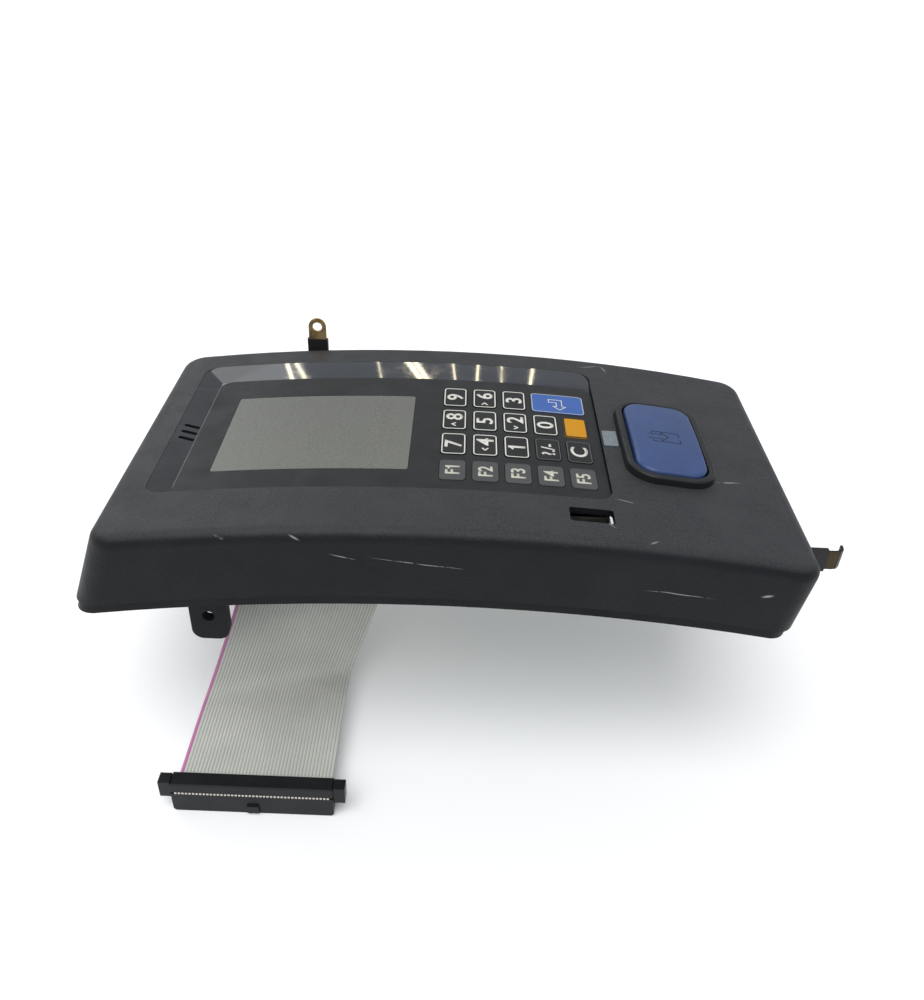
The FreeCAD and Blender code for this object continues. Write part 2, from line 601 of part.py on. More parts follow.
def feed_screw_holes():
    foot = FEED_BOARD_TOP - FEED_BOARD_THICK
    return Part.makeCompound([cylinder(x, y, foot - 1, FEED_SCREW_RADIUS + 0.02, FEED_SCREW_BITE + 1.5)
                              for x, y in feed_screw_places()])


def make_cap():
    """The blue cap: crowned, hollow below, with a stem for the switch."""
    foot = CAP_TOP - CAP_SKIRT
    outer = block(0, 0, foot, CAP_X, CAP_Y, CAP_SKIRT, CAP_RADIUS)
    dome = Part.makeSphere(CAP_CROWN, V(0, 0, CAP_TOP - CAP_CROWN))
    outer = outer.common(dome)
    top = max(outer.Faces, key=lambda f: f.CenterOfMass.z)
    outer = outer.makeFillet(1.5, top.Edges)
    hollow = block(0, 0, foot - 1, CAP_X - 2 * CAP_WALL, CAP_Y - 2 * CAP_WALL,
                   CAP_SKIRT - CAP_WALL - 1.6 + 1, CAP_RADIUS - CAP_WALL)
    stem_foot = FEED_BOARD_TOP + SWITCH_HEIGHT + CAP_TRAVEL + 0.2
    stem = cylinder(0, 0, stem_foot, FEED_STEM_RADIUS, CAP_TOP - 3.0 - stem_foot)
    return on_face(fused([outer.cut(hollow), stem]), FEED_X)


def make_feed_parts():
    board = block(0, 0, FEED_BOARD_TOP - FEED_BOARD_THICK, COLLAR_X - 1, COLLAR_Y - 1,
                  FEED_BOARD_THICK, 2.0)
    walls = block(0, 0, FEED_BOARD_TOP, COLLAR_X - 1, COLLAR_Y - 1,
                  COLLAR_FOOT - FEED_BOARD_TOP, COLLAR_RADIUS - 1)
    walls = walls.cut(block(0, 0, FEED_BOARD_TOP - 1, CAP_X + 2 * CAP_GAP, CAP_Y + 2 * CAP_GAP,
                            20, CAP_RADIUS + CAP_GAP))
    switch = block(0, 0, FEED_BOARD_TOP, SWITCH_SIZE, SWITCH_SIZE, SWITCH_HEIGHT, 0.8)
    spring_top = CAP_TOP - CAP_WALL - 1.6
    spring = cylinder(0, 0, FEED_BOARD_TOP, SPRING_RADIUS, spring_top - FEED_BOARD_TOP)
    spring = spring.cut(cylinder(0, 0, FEED_BOARD_TOP - 1, SPRING_RADIUS - SPRING_WALL, 40))
    board_foot = FEED_BOARD_TOP - FEED_BOARD_THICK
    screws = []
    for x, y in feed_screw_places():
        shank = cylinder(x, y, board_foot, FEED_SCREW_RADIUS, FEED_SCREW_BITE)
        screws.append(fused([shank, cylinder(x, y, board_foot - 1.2, 1.8, 1.2)]))
    holes = feed_screw_holes()
    parts = {"feed_board": board.cut(holes), "feed_spacer": walls.cut(holes), "feed_switch": switch,
             "feed_spring": spring, "feed_screws": Part.makeCompound(screws)}
    return {name: on_face(shape, FEED_X) for name, shape in parts.items()}


# ---- light pipe, USB socket, speaker --------------------------------------------------------
def make_pipe():
    middle = (PIPE_X[0] + PIPE_X[1]) / 2
    top = face_z(middle) + PIPE_PROUD
    return rounded_box(PIPE_X, PIPE_Y, (top - PIPE_LENGTH, top), 0.4)


def make_lamp():
    """The lamp under the light pipe, on two legs from the control board."""
    middle_x, middle_y = (PIPE_X[0] + PIPE_X[1]) / 2, (PIPE_Y[0] + PIPE_Y[1]) / 2
    head_foot = face_z(middle_x) + PIPE_PROUD - PIPE_LENGTH - LAMP_GAP - LAMP_HEAD[2]
    x = middle_x - LAMP_OFFSET
    legs = [cylinder(x - LAMP_HEAD[0] / 4, middle_y + side * LAMP_LEG_PITCH / 2, BOARD_TOP,
                     LAMP_LEG_RADIUS, head_foot + 0.5 - BOARD_TOP) for side in (-1, 1)]
    return fused([block(x, middle_y, head_foot, *LAMP_HEAD)] + legs)


def make_usb():
    height = face_z(USB_X, COVER_WALL) - USB_TOP_GAP - BOARD_TOP
    inside_x, inside_y = USB_SHELL[0] - 2 * USB_WALL, USB_SHELL[1] - 2 * USB_WALL
    shell = block(USB_X, USB_Y, BOARD_TOP, USB_SHELL[0], USB_SHELL[1], height)
    shell = shell.cut(block(USB_X, USB_Y, BOARD_TOP - 1, inside_x, inside_y, height + 2))
    base = block(USB_X, USB_Y, BOARD_TOP, inside_x, inside_y, USB_BASE)
    tongue_y = USB_Y + USB_TONGUE_OFFSET
    tongue_height = height - USB_TONGUE_SUNK
    tongue = block(USB_X, tongue_y, BOARD_TOP, USB_TONGUE[0], USB_TONGUE[1], tongue_height)
    contact_y = tongue_y + USB_TONGUE[1] / 2 + USB_CONTACT[1] / 2
    contacts = [block(USB_X + (k - 1.5) * USB_CONTACT_PITCH, contact_y, BOARD_TOP + USB_BASE,
                      USB_CONTACT[0], USB_CONTACT[1], tongue_height - USB_BASE - 1.0) for k in range(4)]
    return {"usb_shell": shell, "usb_insulator": fused([base, tongue]),
            "usb_contacts": Part.makeCompound(contacts)}


def make_speaker():
    """A basket with a floor, and the cone that it holds by the rim."""
    room = SPEAKER_DEPTH - SPEAKER_FLOOR
    basket = cylinder(SPEAKER_X, 0, SPEAKER_TOP - SPEAKER_DEPTH, SPEAKER_RADIUS, SPEAKER_DEPTH)
    basket = basket.cut(cylinder(SPEAKER_X, 0, SPEAKER_TOP - room, SPEAKER_RADIUS - SPEAKER_WALL, room + 1))
    rim = SPEAKER_RADIUS - SPEAKER_WALL - 0.2
    cone = Part.makeCone(CONE_FOOT, rim, CONE_HEIGHT, V(SPEAKER_X, 0, SPEAKER_TOP - room))
    bowl = Part.makeCone(CONE_FOOT - CONE_WALL, rim - CONE_WALL, CONE_HEIGHT,
                         V(SPEAKER_X, 0, SPEAKER_TOP - room + CONE_WALL - 0.2))
    return {"speaker_basket": basket, "speaker_cone": cone.cut(bowl)}


# ---- boards and rear frame ------------------------------------------------------------------
def make_board():
    board = rounded_box(BOARD_X, BOARD_Y, (BOARD_TOP - BOARD_THICK, BOARD_TOP), 2.0)
    holes = [cylinder(x, y, BOARD_TOP - 5, SCREW_RADIUS + 0.3, 9) for x, y in BOARD_SCREWS]
    return board.cut(Part.makeCompound(holes))


def screw(x, y, seat):
    """A screw driven up from behind, its head under the seat."""
    shank = cylinder(x, y, seat, SCREW_RADIUS - 0.02, BOARD_THICK + SCREW_BITE - 1.5)
    head = cylinder(x, y, seat - SCREW_HEAD, SCREW_HEAD_RADIUS, SCREW_HEAD)
    cross = [block(x, y, seat - SCREW_HEAD - 1, a, b, 2.0) for a, b in ((2.6, 0.6), (0.6, 2.6))]
    return fused([shank, head]).cut(Part.makeCompound(cross))


def frame_pad_seat(x):
    return face_z(x, FRAME_PAD_DEPTH) - FRAME_PAD_THICK


def make_screws():
    board = [screw(x, y, BOARD_TOP - BOARD_THICK) for x, y in BOARD_SCREWS]
    frame = [screw(x, y, frame_pad_seat(x)) for x, y in FRAME_SCREWS]
    seat = side_tab_seat() - TAB_THICK
    tab_shank = cylinder(SIDE_TAB_X, SIDE_SCREW_Y, seat, SCREW_RADIUS - 0.02, 4.6)
    tab_head = cylinder(SIDE_TAB_X, SIDE_SCREW_Y, seat - SCREW_HEAD, SCREW_HEAD_RADIUS, SCREW_HEAD)
    return {"board_screws": Part.makeCompound(board), "frame_screws": Part.makeCompound(frame),
            "earth_screw": fused([tab_shank, tab_head])}


def lug_blank(side):
    """A lug's plate before its holes: the frame's rim and lip are notched by the same form."""
    outer, inner = side * LUG_OUTER_Y, side * (LUG_OUTER_Y - LUG_THICK)
    low, high = min(outer, inner), max(outer, inner)
    top = face_z(LUG_X, WALL_HEIGHT - LUG_RISE)
    plate = Part.makeBox(LUG_WIDTH, high - low, top - LUG_FOOT, V(LUG_X - LUG_WIDTH / 2, low, LUG_FOOT))
    edges = [e for e in plate.Edges if e.BoundBox.YLength > LUG_THICK - 0.1
             and e.CenterOfMass.z < LUG_FOOT + 1]
    return plate.makeFillet(LUG_RADIUS, edges)


def lug_screw_z():
    return face_z(LUG_X, WALL_HEIGHT - LUG_SCREW_RISE)


def lug_screw_rod(side, radius, start, length):
    """A rod on a lug screw's axis, from start outwards."""
    return Part.makeCylinder(radius, length, V(LUG_X, side * start, lug_screw_z()), V(0, side, 0))


def make_lugs():
    """Two plates with the pivot's holes, screwed to the inside of the frame's rim."""
    lugs, screws = [], []
    inner = LUG_OUTER_Y - LUG_THICK
    for side in (-1, 1):
        pivot = Part.makeCylinder(LUG_HOLE_RADIUS, 2 * WIDTH, V(LUG_X, -WIDTH, LUG_HOLE_Z), Y_DIR)
        screw_hole = lug_screw_rod(side, SCREW_RADIUS + 0.15, inner - 1, LUG_THICK + 2)
        lugs.append(lug_blank(side).cut(Part.makeCompound([pivot, screw_hole])))
        shank = lug_screw_rod(side, SCREW_RADIUS - 0.02, inner, LUG_SCREW_LENGTH)
        head = lug_screw_rod(side, SCREW_HEAD_RADIUS, inner - SCREW_HEAD, SCREW_HEAD)
        screws.append(fused([shank, head]))
    return {"pivot_lugs": Part.makeCompound(lugs), "lug_screws": Part.makeCompound(screws)}


def make_frame():
    lip_foot = WALL_HEIGHT + LIP_DEPTH
    rim_inset = COVER_WALL + FIT
    lip = cover_blank(LIP_INSET, WALL_HEIGHT, lip_foot, CORNER_RADIUS - LIP_INSET, 0)
    lip = lip.cut(cover_blank(LIP_INSET + LIP_WIDTH, WALL_HEIGHT - 4, lip_foot + 4, 3.0, 0))
    rim = cover_blank(rim_inset, WALL_HEIGHT - RIM_HEIGHT, WALL_HEIGHT + 1, CORNER_RADIUS - rim_inset, 0)
    rim = rim.cut(cover_blank(rim_inset + RIM_WALL, WALL_HEIGHT - RIM_HEIGHT - 4, lip_foot + 4, 2.6, 0))
    pieces, holes = [lip, rim], []
    for x, y in FRAME_SCREWS:
        seat = frame_pad_seat(x)
        pieces.append(cylinder(x, y, seat, FRAME_PAD_RADIUS, FRAME_PAD_THICK))
        side = 1 if y > 0 else -1
        reach = HALF_WIDTH - rim_inset - RIM_WALL / 2
        low, high = sorted((y, side * reach))
        pieces.append(Part.makeBox(6.0, high - low, FRAME_PAD_THICK, V(x - 3.0, low, seat)))
        holes.append(cylinder(x, y, seat - 3, SCREW_RADIUS + 0.3, 9))
    for side in (-1, 1):
        holes.append(lug_blank(side))
        holes.append(lug_screw_rod(side, SCREW_RADIUS, LUG_OUTER_Y - 1, LUG_SCREW_LENGTH - LUG_THICK + 1))
        foot = face_z(FEET_X, lip_foot)
        y = side * FEET_SPACING / 2
        pieces.append(cylinder(FEET_X, y, foot, FEET_RADIUS, FEET_LENGTH))
        pieces.append(Part.makeBox(5.0, 3.0, 5.0, V(FEET_X, y - 1.5, foot)))
        holes.append(cylinder(FEET_X, y, foot - 1, FEET_HOLE_RADIUS, FEET_LENGTH - 1))
    seat = side_tab_seat()
    holes.append(cylinder(SIDE_TAB_X, SIDE_SCREW_Y, seat - 1, SCREW_RADIUS, 5.5))
    level = Part.makeBox(TAB_WIDTH + 2, 12, 3, V(SIDE_TAB_X - TAB_WIDTH / 2 - 1, HALF_WIDTH - 10, seat - 3))
    return fused(pieces).cut(Part.makeCompound(holes + [level]))


# ---- earthing tabs --------------------------------------------------------------------------
def strip_path(points, thick):
    """The outline of a thin strip bent along points, in the plane of its path."""
    left, right = [], []
    for i, p in enumerate(points):
        before = p - points[i - 1] if i else points[1] - p
        after = points[i + 1] - p if i < len(points) - 1 else before
        a, b = before.normalize(), after.normalize()
        normal_a, normal_b = V(-a.y, a.x, 0), V(-b.y, b.x, 0)
        mitre = (normal_a + normal_b).normalize()
        out = mitre * (thick / 2 / max(mitre.dot(normal_a), 0.3))
        left.append(p + out)
        right.append(p - out)
    loop = left + right[::-1]
    return Part.Face(Part.makePolygon(loop + loop[:1]))


def side_plane(face, width):
    """Stands a strip drawn in x-y (as y-z of the panel) up, and gives it its width along x."""
    turn = FreeCAD.Matrix(0, 0, 1, 0, 1, 0, 0, 0, 0, 1, 0, 0, 0, 0, 0, 1)
    return face.extrude(V(0, 0, width)).transformed(turn)


def side_tab_seat():
    """The flat that the frame's lip gives the side tab's foot."""
    return face_z(SIDE_TAB_X, WALL_HEIGHT + LIP_DEPTH) + 0.3


def make_side_tab():
    """The strip by the far wall: a foot under the frame's lip, then straight up past the face."""
    strip_y = HALF_WIDTH + SIDE_TAB_GAP
    foot = side_tab_seat() - TAB_THICK / 2
    path = [V(HALF_WIDTH - SIDE_FOOT_LENGTH, foot, 0), V(strip_y - 1.2, foot, 0), V(strip_y, foot + 1.2, 0),
            V(strip_y, SIDE_TAB_TOP - TAB_WIDTH / 2, 0)]
    strip = side_plane(strip_path(path, TAB_THICK), TAB_WIDTH)
    strip.translate(V(SIDE_TAB_X - TAB_WIDTH / 2, 0, 0))
    eye_z = SIDE_TAB_TOP - TAB_WIDTH / 2
    ring = Part.makeCylinder(TAB_WIDTH / 2, TAB_THICK, V(SIDE_TAB_X, strip_y - TAB_THICK / 2, eye_z), Y_DIR)
    hole = Part.makeCylinder(TAB_HOLE_RADIUS, 6, V(SIDE_TAB_X, strip_y - 3, eye_z), Y_DIR)
    screw_hole = cylinder(SIDE_TAB_X, SIDE_SCREW_Y, foot - 3, SCREW_RADIUS + 0.15, 6)
    strip = fused([strip, ring]).cut(Part.makeCompound([hole, screw_hole]))
    sleeve = block(SIDE_TAB_X, strip_y, foot + 4, TAB_WIDTH + 2 * SLEEVE_THICK,
                   TAB_THICK + 2 * SLEEVE_THICK, SIDE_SLEEVE_TOP - foot - 4)
    core = block(SIDE_TAB_X, strip_y, foot, TAB_WIDTH, TAB_THICK, SIDE_SLEEVE_TOP - foot + 4)
    return strip, sleeve.cut(core)


def make_end_tab():
    """The strip on edge through the bottom end wall, its tip curled."""
    low = END_TAB_Z - TAB_WIDTH / 2
    path = [V(END_TAB_ROOT, END_TAB_Y, 0), V(END_TAB_TIP - 3.4, END_TAB_Y, 0),
            V(END_TAB_TIP - 1.8, END_TAB_Y + 0.3, 0), V(END_TAB_TIP - 0.7, END_TAB_Y + 1.3, 0),
            V(END_TAB_TIP - 0.4, END_TAB_Y + END_TAB_CURL, 0)]
    strip = strip_path(path, TAB_THICK).extrude(V(0, 0, TAB_WIDTH))
    strip.translate(V(0, 0, low))
    hole = Part.makeCylinder(TAB_HOLE_RADIUS - 0.4, 6, V(END_TAB_ROOT + 3.5, END_TAB_Y - 3, END_TAB_Z), Y_DIR)
    start = END_TAB_ROOT + 8.0
    length = END_TAB_TIP - 6.0 - start
    sleeve = block(start + length / 2, END_TAB_Y, low - SLEEVE_THICK, length,
                   TAB_THICK + 2 * SLEEVE_THICK, TAB_WIDTH + 2 * SLEEVE_THICK)
    core = block(start + length / 2, END_TAB_Y, low, length + 4, TAB_THICK, TAB_WIDTH)
    return strip.cut(hole), sleeve.cut(core)


# ---- ribbon cable and sockets ---------------------------------------------------------------
def header_foot():
    return BOARD_TOP - BOARD_THICK - HEADER_HEIGHT


def socket_ribbon_z():
    """Height of the ribbon's middle where the board socket grips it."""
    mating_face = BOARD_TOP - BOARD_THICK - HEADER_FLOOR
    return mating_face - SOCKET_BODY[2] - RIBBON_THICK / 2


def header_x():
    """Where the cable's drift brings it to the header."""
    return CONNECTOR_X + RIBBON_LEAN * (HEADER_Y - CONNECTOR_Y)


def make_socket(middle_x, middle_y, ribbon_z, up):
    """Body and cover of an IDC socket. up is 1 where the pins go in from below, -1 from above."""
    body_x, body_y, body_z = SOCKET_BODY
    body = block(0, 0, -RIBBON_THICK / 2 - body_z, body_x, body_y, body_z)
    lower = [e for e in body.Edges if e.BoundBox.YLength > body_y - 0.1
             and e.CenterOfMass.z < -body_z + 0.5]
    body = body.makeChamfer(0.9, lower)
    bump = block(0, -body_y / 2 - SOCKET_BUMP[1] / 2 + 0.05, -RIBBON_THICK / 2 - body_z + 0.8,
                 SOCKET_BUMP[0], SOCKET_BUMP[1], SOCKET_BUMP[2])
    body = fused([body, bump])
    holes = []
    for row in (-0.5, 0.5):
        for k in range(CORES // 2):
            x = (k - (CORES / 2 - 1) / 2) * CONTACT_PITCH
            holes.append(block(x, row * CONTACT_PITCH, -RIBBON_THICK / 2 - body_z - 1, CONTACT_HOLE,
                               CONTACT_HOLE, 6.5))
    body = body.cut(Part.makeCompound(holes))
    cover = block(0, 0, RIBBON_THICK / 2, SOCKET_COVER[0], SOCKET_COVER[1], SOCKET_COVER[2])
    upper = [e for e in cover.Edges if abs(e.BoundBox.ZMin - RIBBON_THICK / 2 - SOCKET_COVER[2]) < 1e-6]
    cover = cover.makeChamfer(0.5, upper)
    ears = []
    top = RIBBON_THICK / 2 + SOCKET_COVER[2]
    for side in (-1, 1):
        middle = side * (SOCKET_COVER[0] / 2 + SOCKET_EAR[0] / 2 + 0.1)
        ears.append(block(middle, 0, top - SOCKET_EAR[2], *SOCKET_EAR))
        ears.append(block(side * SOCKET_COVER[0] / 2, 0, RIBBON_THICK / 2, 3.0, SOCKET_EAR[1],
                          SOCKET_COVER[2] - 0.6))
    cover = fused([cover] + ears)
    placed = []
    for part in (body, cover):
        if up < 0:
            part.rotate(V(0, 0, 0), X_DIR, 180)
        part.translate(V(middle_x, middle_y, ribbon_z))
        placed.append(part)
    return placed


def make_header():
    cavity_x, cavity_y = SOCKET_BODY[0] + 0.6, SOCKET_BODY[1] + 0.4
    foot = header_foot()
    outer = block(header_x(), HEADER_Y, foot, cavity_x + 2 * HEADER_WALL, cavity_y + 2 * HEADER_WALL,
                  HEADER_HEIGHT)
    cavity = block(header_x(), HEADER_Y, foot - 1, cavity_x, cavity_y, HEADER_HEIGHT - HEADER_FLOOR + 1)
    key_slot = block(header_x(), HEADER_Y + cavity_y / 2 + HEADER_WALL / 2, foot - 1,
                     SOCKET_BUMP[0] + 0.6, HEADER_WALL + 1.0, HEADER_HEIGHT - HEADER_FLOOR + 1)
    return outer.cut(Part.makeCompound([cavity, key_slot]))


def route_points():
    """The route as points in (y, z), from the board socket's side to the far socket's."""
    return [(HEADER_Y, socket_ribbon_z())] + list(ROUTE) + [(CONNECTOR_Y, RIBBON_FLOOR_Z)]


def offset_path(points, offset):
    """Straight runs joined by tangent arcs, moved sideways by offset; and the arcs' radii."""
    corners = [V(0, y, z) for y, z in points]
    edges, radii, at = [], [], None
    for i in range(1, len(corners) - 1):
        into, out = corners[i] - corners[i - 1], corners[i + 1] - corners[i]
        shorter = min(into.Length, out.Length)
        into.normalize()
        out.normalize()
        turn = math.acos(max(-1.0, min(1.0, into.dot(out))))
        side_in, side_out = V(0, -into.z, into.y), V(0, -out.z, out.y)
        first = corners[0] + side_in * offset if at is None else at
        if turn < 1e-4:
            continue
        reach = 0.45 * shorter
        radius = reach / math.tan(turn / 2)
        radii.append(radius)
        begin = corners[i] - into * reach + side_in * offset
        finish = corners[i] + out * reach + side_out * offset
        inward = (out - into).normalize()
        hub = corners[i] + inward * (radius / math.cos(turn / 2))
        handed = 1 if inward.dot(side_in) > 0 else -1
        crown = hub - inward * (radius - handed * offset)
        edges.append(Part.LineSegment(first, begin).toShape())
        edges.append(Part.Arc(begin, crown, finish).toShape())
        at = finish
    last = corners[-1] + V(0, -out.z, out.y) * offset
    edges.append(Part.LineSegment(at, last).toShape())
    return edges, radii


def make_ribbon():
    points = route_points()
    middle, radii = offset_path(points, 0.0)
    length = sum(e.Length for e in middle)
    upper, _ = offset_path(points, RIBBON_THICK / 2)
    lower, _ = offset_path(points, -RIBBON_THICK / 2)
    caps = [Part.makeLine(upper[k].Vertexes[k].Point, lower[k].Vertexes[k].Point) for k in (0, -1)]
    wire = Part.Wire(Part.__sortEdges__(upper + lower + caps))
    strip = Part.Face(wire).extrude(V(RIBBON_WIDTH, 0, 0))
    strip.translate(V(CONNECTOR_X - RIBBON_WIDTH / 2 - RIBBON_LEAN * CONNECTOR_Y, 0, 0))
    lean = FreeCAD.Matrix(1, RIBBON_LEAN, 0, 0, 0, 1, 0, 0, 0, 0, 1, 0, 0, 0, 0, 1)
    ribbon = strip.transformGeometry(lean)
    expected = RIBBON_THICK * RIBBON_WIDTH * length
    print(f"ribbon length {length:.1f}, volume {ribbon.Volume:.0f} against {expected:.0f}")
    print("ribbon radii", [round(r, 1) for r in radii])
    return ribbon


# ---- everything -----------------------------------------------------------------------------
def main():
    os.makedirs("parts", exist_ok=True)
    parts = {"front_cover": make_cover(), "display_surround": make_surround(), "keypad_film": make_film()}
    parts.update(make_screen_parts())
    for name, x, y, size_x, size_y in key_list():
        parts[name] = make_key(x, y, size_x, size_y)
    parts["key_domes"] = make_domes()
    parts["keypad_backer"] = make_backer()
    parts["feed_button"] = make_cap()
    parts["feed_collar"] = make_collar()
    parts.update(make_feed_parts())
    parts["status_light_pipe"] = make_pipe()
    parts["status_lamp"] = make_lamp()
    parts.update(make_usb())
    parts.update(make_speaker())
    parts["control_board"] = make_board()
    parts["board_header"] = make_header()
    parts["rear_frame"] = make_frame()
    parts.update(make_lugs())
    parts.update(make_screws())
    parts["side_earth_tab"], parts["side_earth_sleeve"] = make_side_tab()
    parts["end_earth_tab"], parts["end_earth_sleeve"] = make_end_tab()
    parts["ribbon_cable"] = make_ribbon()
    near = make_socket(header_x(), HEADER_Y, socket_ribbon_z(), -1)
    parts["board_socket_body"], parts["board_socket_cover"] = near
    far = make_socket(CONNECTOR_X, CONNECTOR_Y, RIBBON_FLOOR_Z, 1)
    parts["cable_socket_body"], parts["cable_socket_cover"] = far
    for name, shape in parts.items():
        export(name, shape)


main()
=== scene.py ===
# %% [markdown]
# # An operator panel, finished in Blender
#
# The object is the front panel of a label printer, taken off its machine: a bent charcoal cover
# with a screen, a keypad and a big blue button, and a wide grey ribbon cable hanging from it.
# The CAD model holds every shape that has to fit or move. This script dresses it: it lays the
# ribbon, prints the keys, fills the circuit board, and gives each surface its finish.
# Sizes are in metres, and every place is read from the CAD model's boxes where that is possible.

# %% Load the CAD model
import math

import bmesh
import bpy
from mathutils import Matrix, Vector


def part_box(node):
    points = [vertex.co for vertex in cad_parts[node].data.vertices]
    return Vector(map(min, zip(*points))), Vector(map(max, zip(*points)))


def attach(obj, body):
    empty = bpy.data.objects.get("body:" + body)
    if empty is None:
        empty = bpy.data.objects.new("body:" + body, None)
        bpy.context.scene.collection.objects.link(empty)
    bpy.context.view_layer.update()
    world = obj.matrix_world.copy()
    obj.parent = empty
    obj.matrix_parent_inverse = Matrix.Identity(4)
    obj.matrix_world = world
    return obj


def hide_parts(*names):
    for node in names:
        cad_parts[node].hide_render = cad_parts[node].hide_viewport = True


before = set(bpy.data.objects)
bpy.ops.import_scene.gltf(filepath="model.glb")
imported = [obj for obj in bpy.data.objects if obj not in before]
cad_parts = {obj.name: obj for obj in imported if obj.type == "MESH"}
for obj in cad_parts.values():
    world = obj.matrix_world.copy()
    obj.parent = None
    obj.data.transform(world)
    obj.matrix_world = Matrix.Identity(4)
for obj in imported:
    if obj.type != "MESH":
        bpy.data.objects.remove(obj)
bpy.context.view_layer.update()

MM = 0.001

# %% [markdown]
# ## The camera
#
# The panel is seen from a little above its near long side, with a normal lens. A camera's own
# axes are its right, its up and the reverse of where it looks, so a matrix with those three
# directions as columns turns it without any guessing at angles.

# %% Camera
CAMERA_PLACE = Vector((0.08206, -0.2325, 0.21764))
CAMERA_RIGHT = Vector((0.99898, 0.01519, 0.04255))
CAMERA_UP = Vector((-0.04349, 0.57898, 0.81418))
CAMERA_AHEAD = Vector((0.01226, 0.81520, -0.57905))
LENS_MM = 35.24
SENSOR_MM = 36.0

camera_data = bpy.data.cameras.new("camera")
camera_data.sensor_fit = "HORIZONTAL"
camera_data.sensor_width = SENSOR_MM
camera_data.lens = LENS_MM
camera_data.clip_start = 0.01
camera = bpy.data.objects.new("camera", camera_data)
bpy.context.scene.collection.objects.link(camera)
turn = Matrix((CAMERA_RIGHT, CAMERA_UP, -CAMERA_AHEAD)).transposed().to_4x4()
camera.matrix_world = Matrix.Translation(CAMERA_PLACE) @ turn
bpy.context.scene.camera = camera
bpy.context.scene.view_settings.view_transform = "Standard"
print("camera looks along", [round(c, 3) for c in CAMERA_AHEAD])

# %% [markdown]
# ## The line of the ribbon cable
#
# The cable runs back behind the circuit board, folds, returns, and drops out under the panel's
# near edge to the socket that it ends in. Its line is a NURBS curve through a few given points:
# the curve rounds the corners by itself, as a springy cable does. Order 3 has to be set after
# the points are added, because a new spline with two points falls back to straight runs.

# %% Ribbon line
CORES = 44
CORE_PITCH = 1.27 * MM
RIBBON_WIDTH = CORES * CORE_PITCH
ROUTE = (
    (0.0276, 0.1100, 0.01525), (0.0276, 0.0850, 0.01525), (0.0279, 0.0610, 0.0157),
    (0.0284, 0.0370, 0.0151), (0.0290, 0.0200, 0.0156), (0.0295, 0.0100, 0.0159),
    (0.0298, 0.0050, 0.0155), (0.0300, 0.0050, 0.0105), (0.0303, 0.0110, 0.0099),
    (0.0308, 0.0230, 0.0104), (0.0316, 0.0430, 0.0098), (0.0324, 0.0650, 0.0104),
    (0.0330, 0.0790, 0.0100), (0.0334, 0.0890, 0.0090), (0.0336, 0.0950, 0.0052),
    (0.0336, 0.0945, -0.0014), (0.0330, 0.0800, -0.0040), (0.0318, 0.0620, -0.0072),
    (0.0300, 0.0470, -0.0135), (0.0270, 0.0365, -0.0265), (0.0212, 0.0310, -0.0440),
    (0.0158, 0.0245, -0.0592), (0.0152, 0.0080, -0.0602), (0.0152, -0.0090, -0.0602),
    (0.0152, -0.0274, -0.0602),
)


def smooth_line(points, resolution):
    """The points of a NURBS curve through the given control points."""
    curve = bpy.data.curves.new("route", "CURVE")
    curve.dimensions = "3D"
    curve.resolution_u = resolution
    spline = curve.splines.new("NURBS")
    spline.points.add(len(points) - 1)
    for target, point in zip(spline.points, points):
        target.co = (*point, 1.0)
    spline.order_u = 3
    spline.use_endpoint_u = True
    holder = bpy.data.objects.new("route", curve)
    mesh = bpy.data.meshes.new_from_object(holder)
    line = [v.co.copy() for v in mesh.vertices]
    bpy.data.objects.remove(holder)
    bpy.data.meshes.remove(mesh)
    return line


ribbon_line = smooth_line(ROUTE, 7)
line_length = sum((b - a).length for a, b in zip(ribbon_line, ribbon_line[1:]))
print("ribbon line", len(ribbon_line), "points,", round(line_length, 4), "m")

# %% [markdown]
# ## The ribbon itself
#
# A ribbon cable is a row of round cores whose insulation is joined by thin webs. Its section is
# drawn once as a ring of edges, then extruded from one point of the line to the next, which is
# how the real one is made: pulled through a die. The extruded rings are then set on the line,
# and near the place where the cable was once folded they are slanted, which leaves a crease. A
# UV map runs across and along it, so that the marked first core can be coloured wherever the
# cable turns.

# %% Ribbon helpers
CORE_RADIUS = 0.45 * MM
WEB_HALF = 0.13 * MM
CORE_ANGLES = (145, 90, 35)
CREASE_AT = Vector((0.0158, 0.0265, -0.0560))
CREASE_REACH = 0.045
CREASE_SLANT = math.radians(17)
LOOK_ALONG = 0.6 * MM  # how far to each side the line's direction is measured


def section_outline():
    """One ring round the cable: (across, up) for its top side, then for its underside."""
    left = -RIBBON_WIDTH / 2
    top = [(left, WEB_HALF)]
    for core in range(CORES):
        middle = left + (core + 0.5) * CORE_PITCH
        for angle in map(math.radians, CORE_ANGLES):
            top.append((middle + CORE_RADIUS * math.cos(angle), CORE_RADIUS * math.sin(angle)))
        top.append((middle + CORE_PITCH / 2, WEB_HALF))
    return top + [(across, -up) for across, up in reversed(top)]


def along_line(distances, line, wanted):
    """The point at a distance along the line, by straight steps between its points."""
    wanted = min(max(wanted, 0.0), distances[-1])
    for i in range(1, len(line)):
        if distances[i] >= wanted:
            share = (wanted - distances[i - 1]) / (distances[i] - distances[i - 1])
            return line[i - 1].lerp(line[i], share)
    return line[-1].copy()


def add_object(name, bm, body="root"):
    """Turns a bmesh into an object that rides on a CAD body."""
    mesh = bpy.data.meshes.new(name)
    bm.to_mesh(mesh)
    bm.free()
    made = bpy.data.objects.new(name, mesh)
    bpy.context.scene.collection.objects.link(made)
    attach(made, body)
    return made


print("ribbon section of", len(section_outline()), "points")

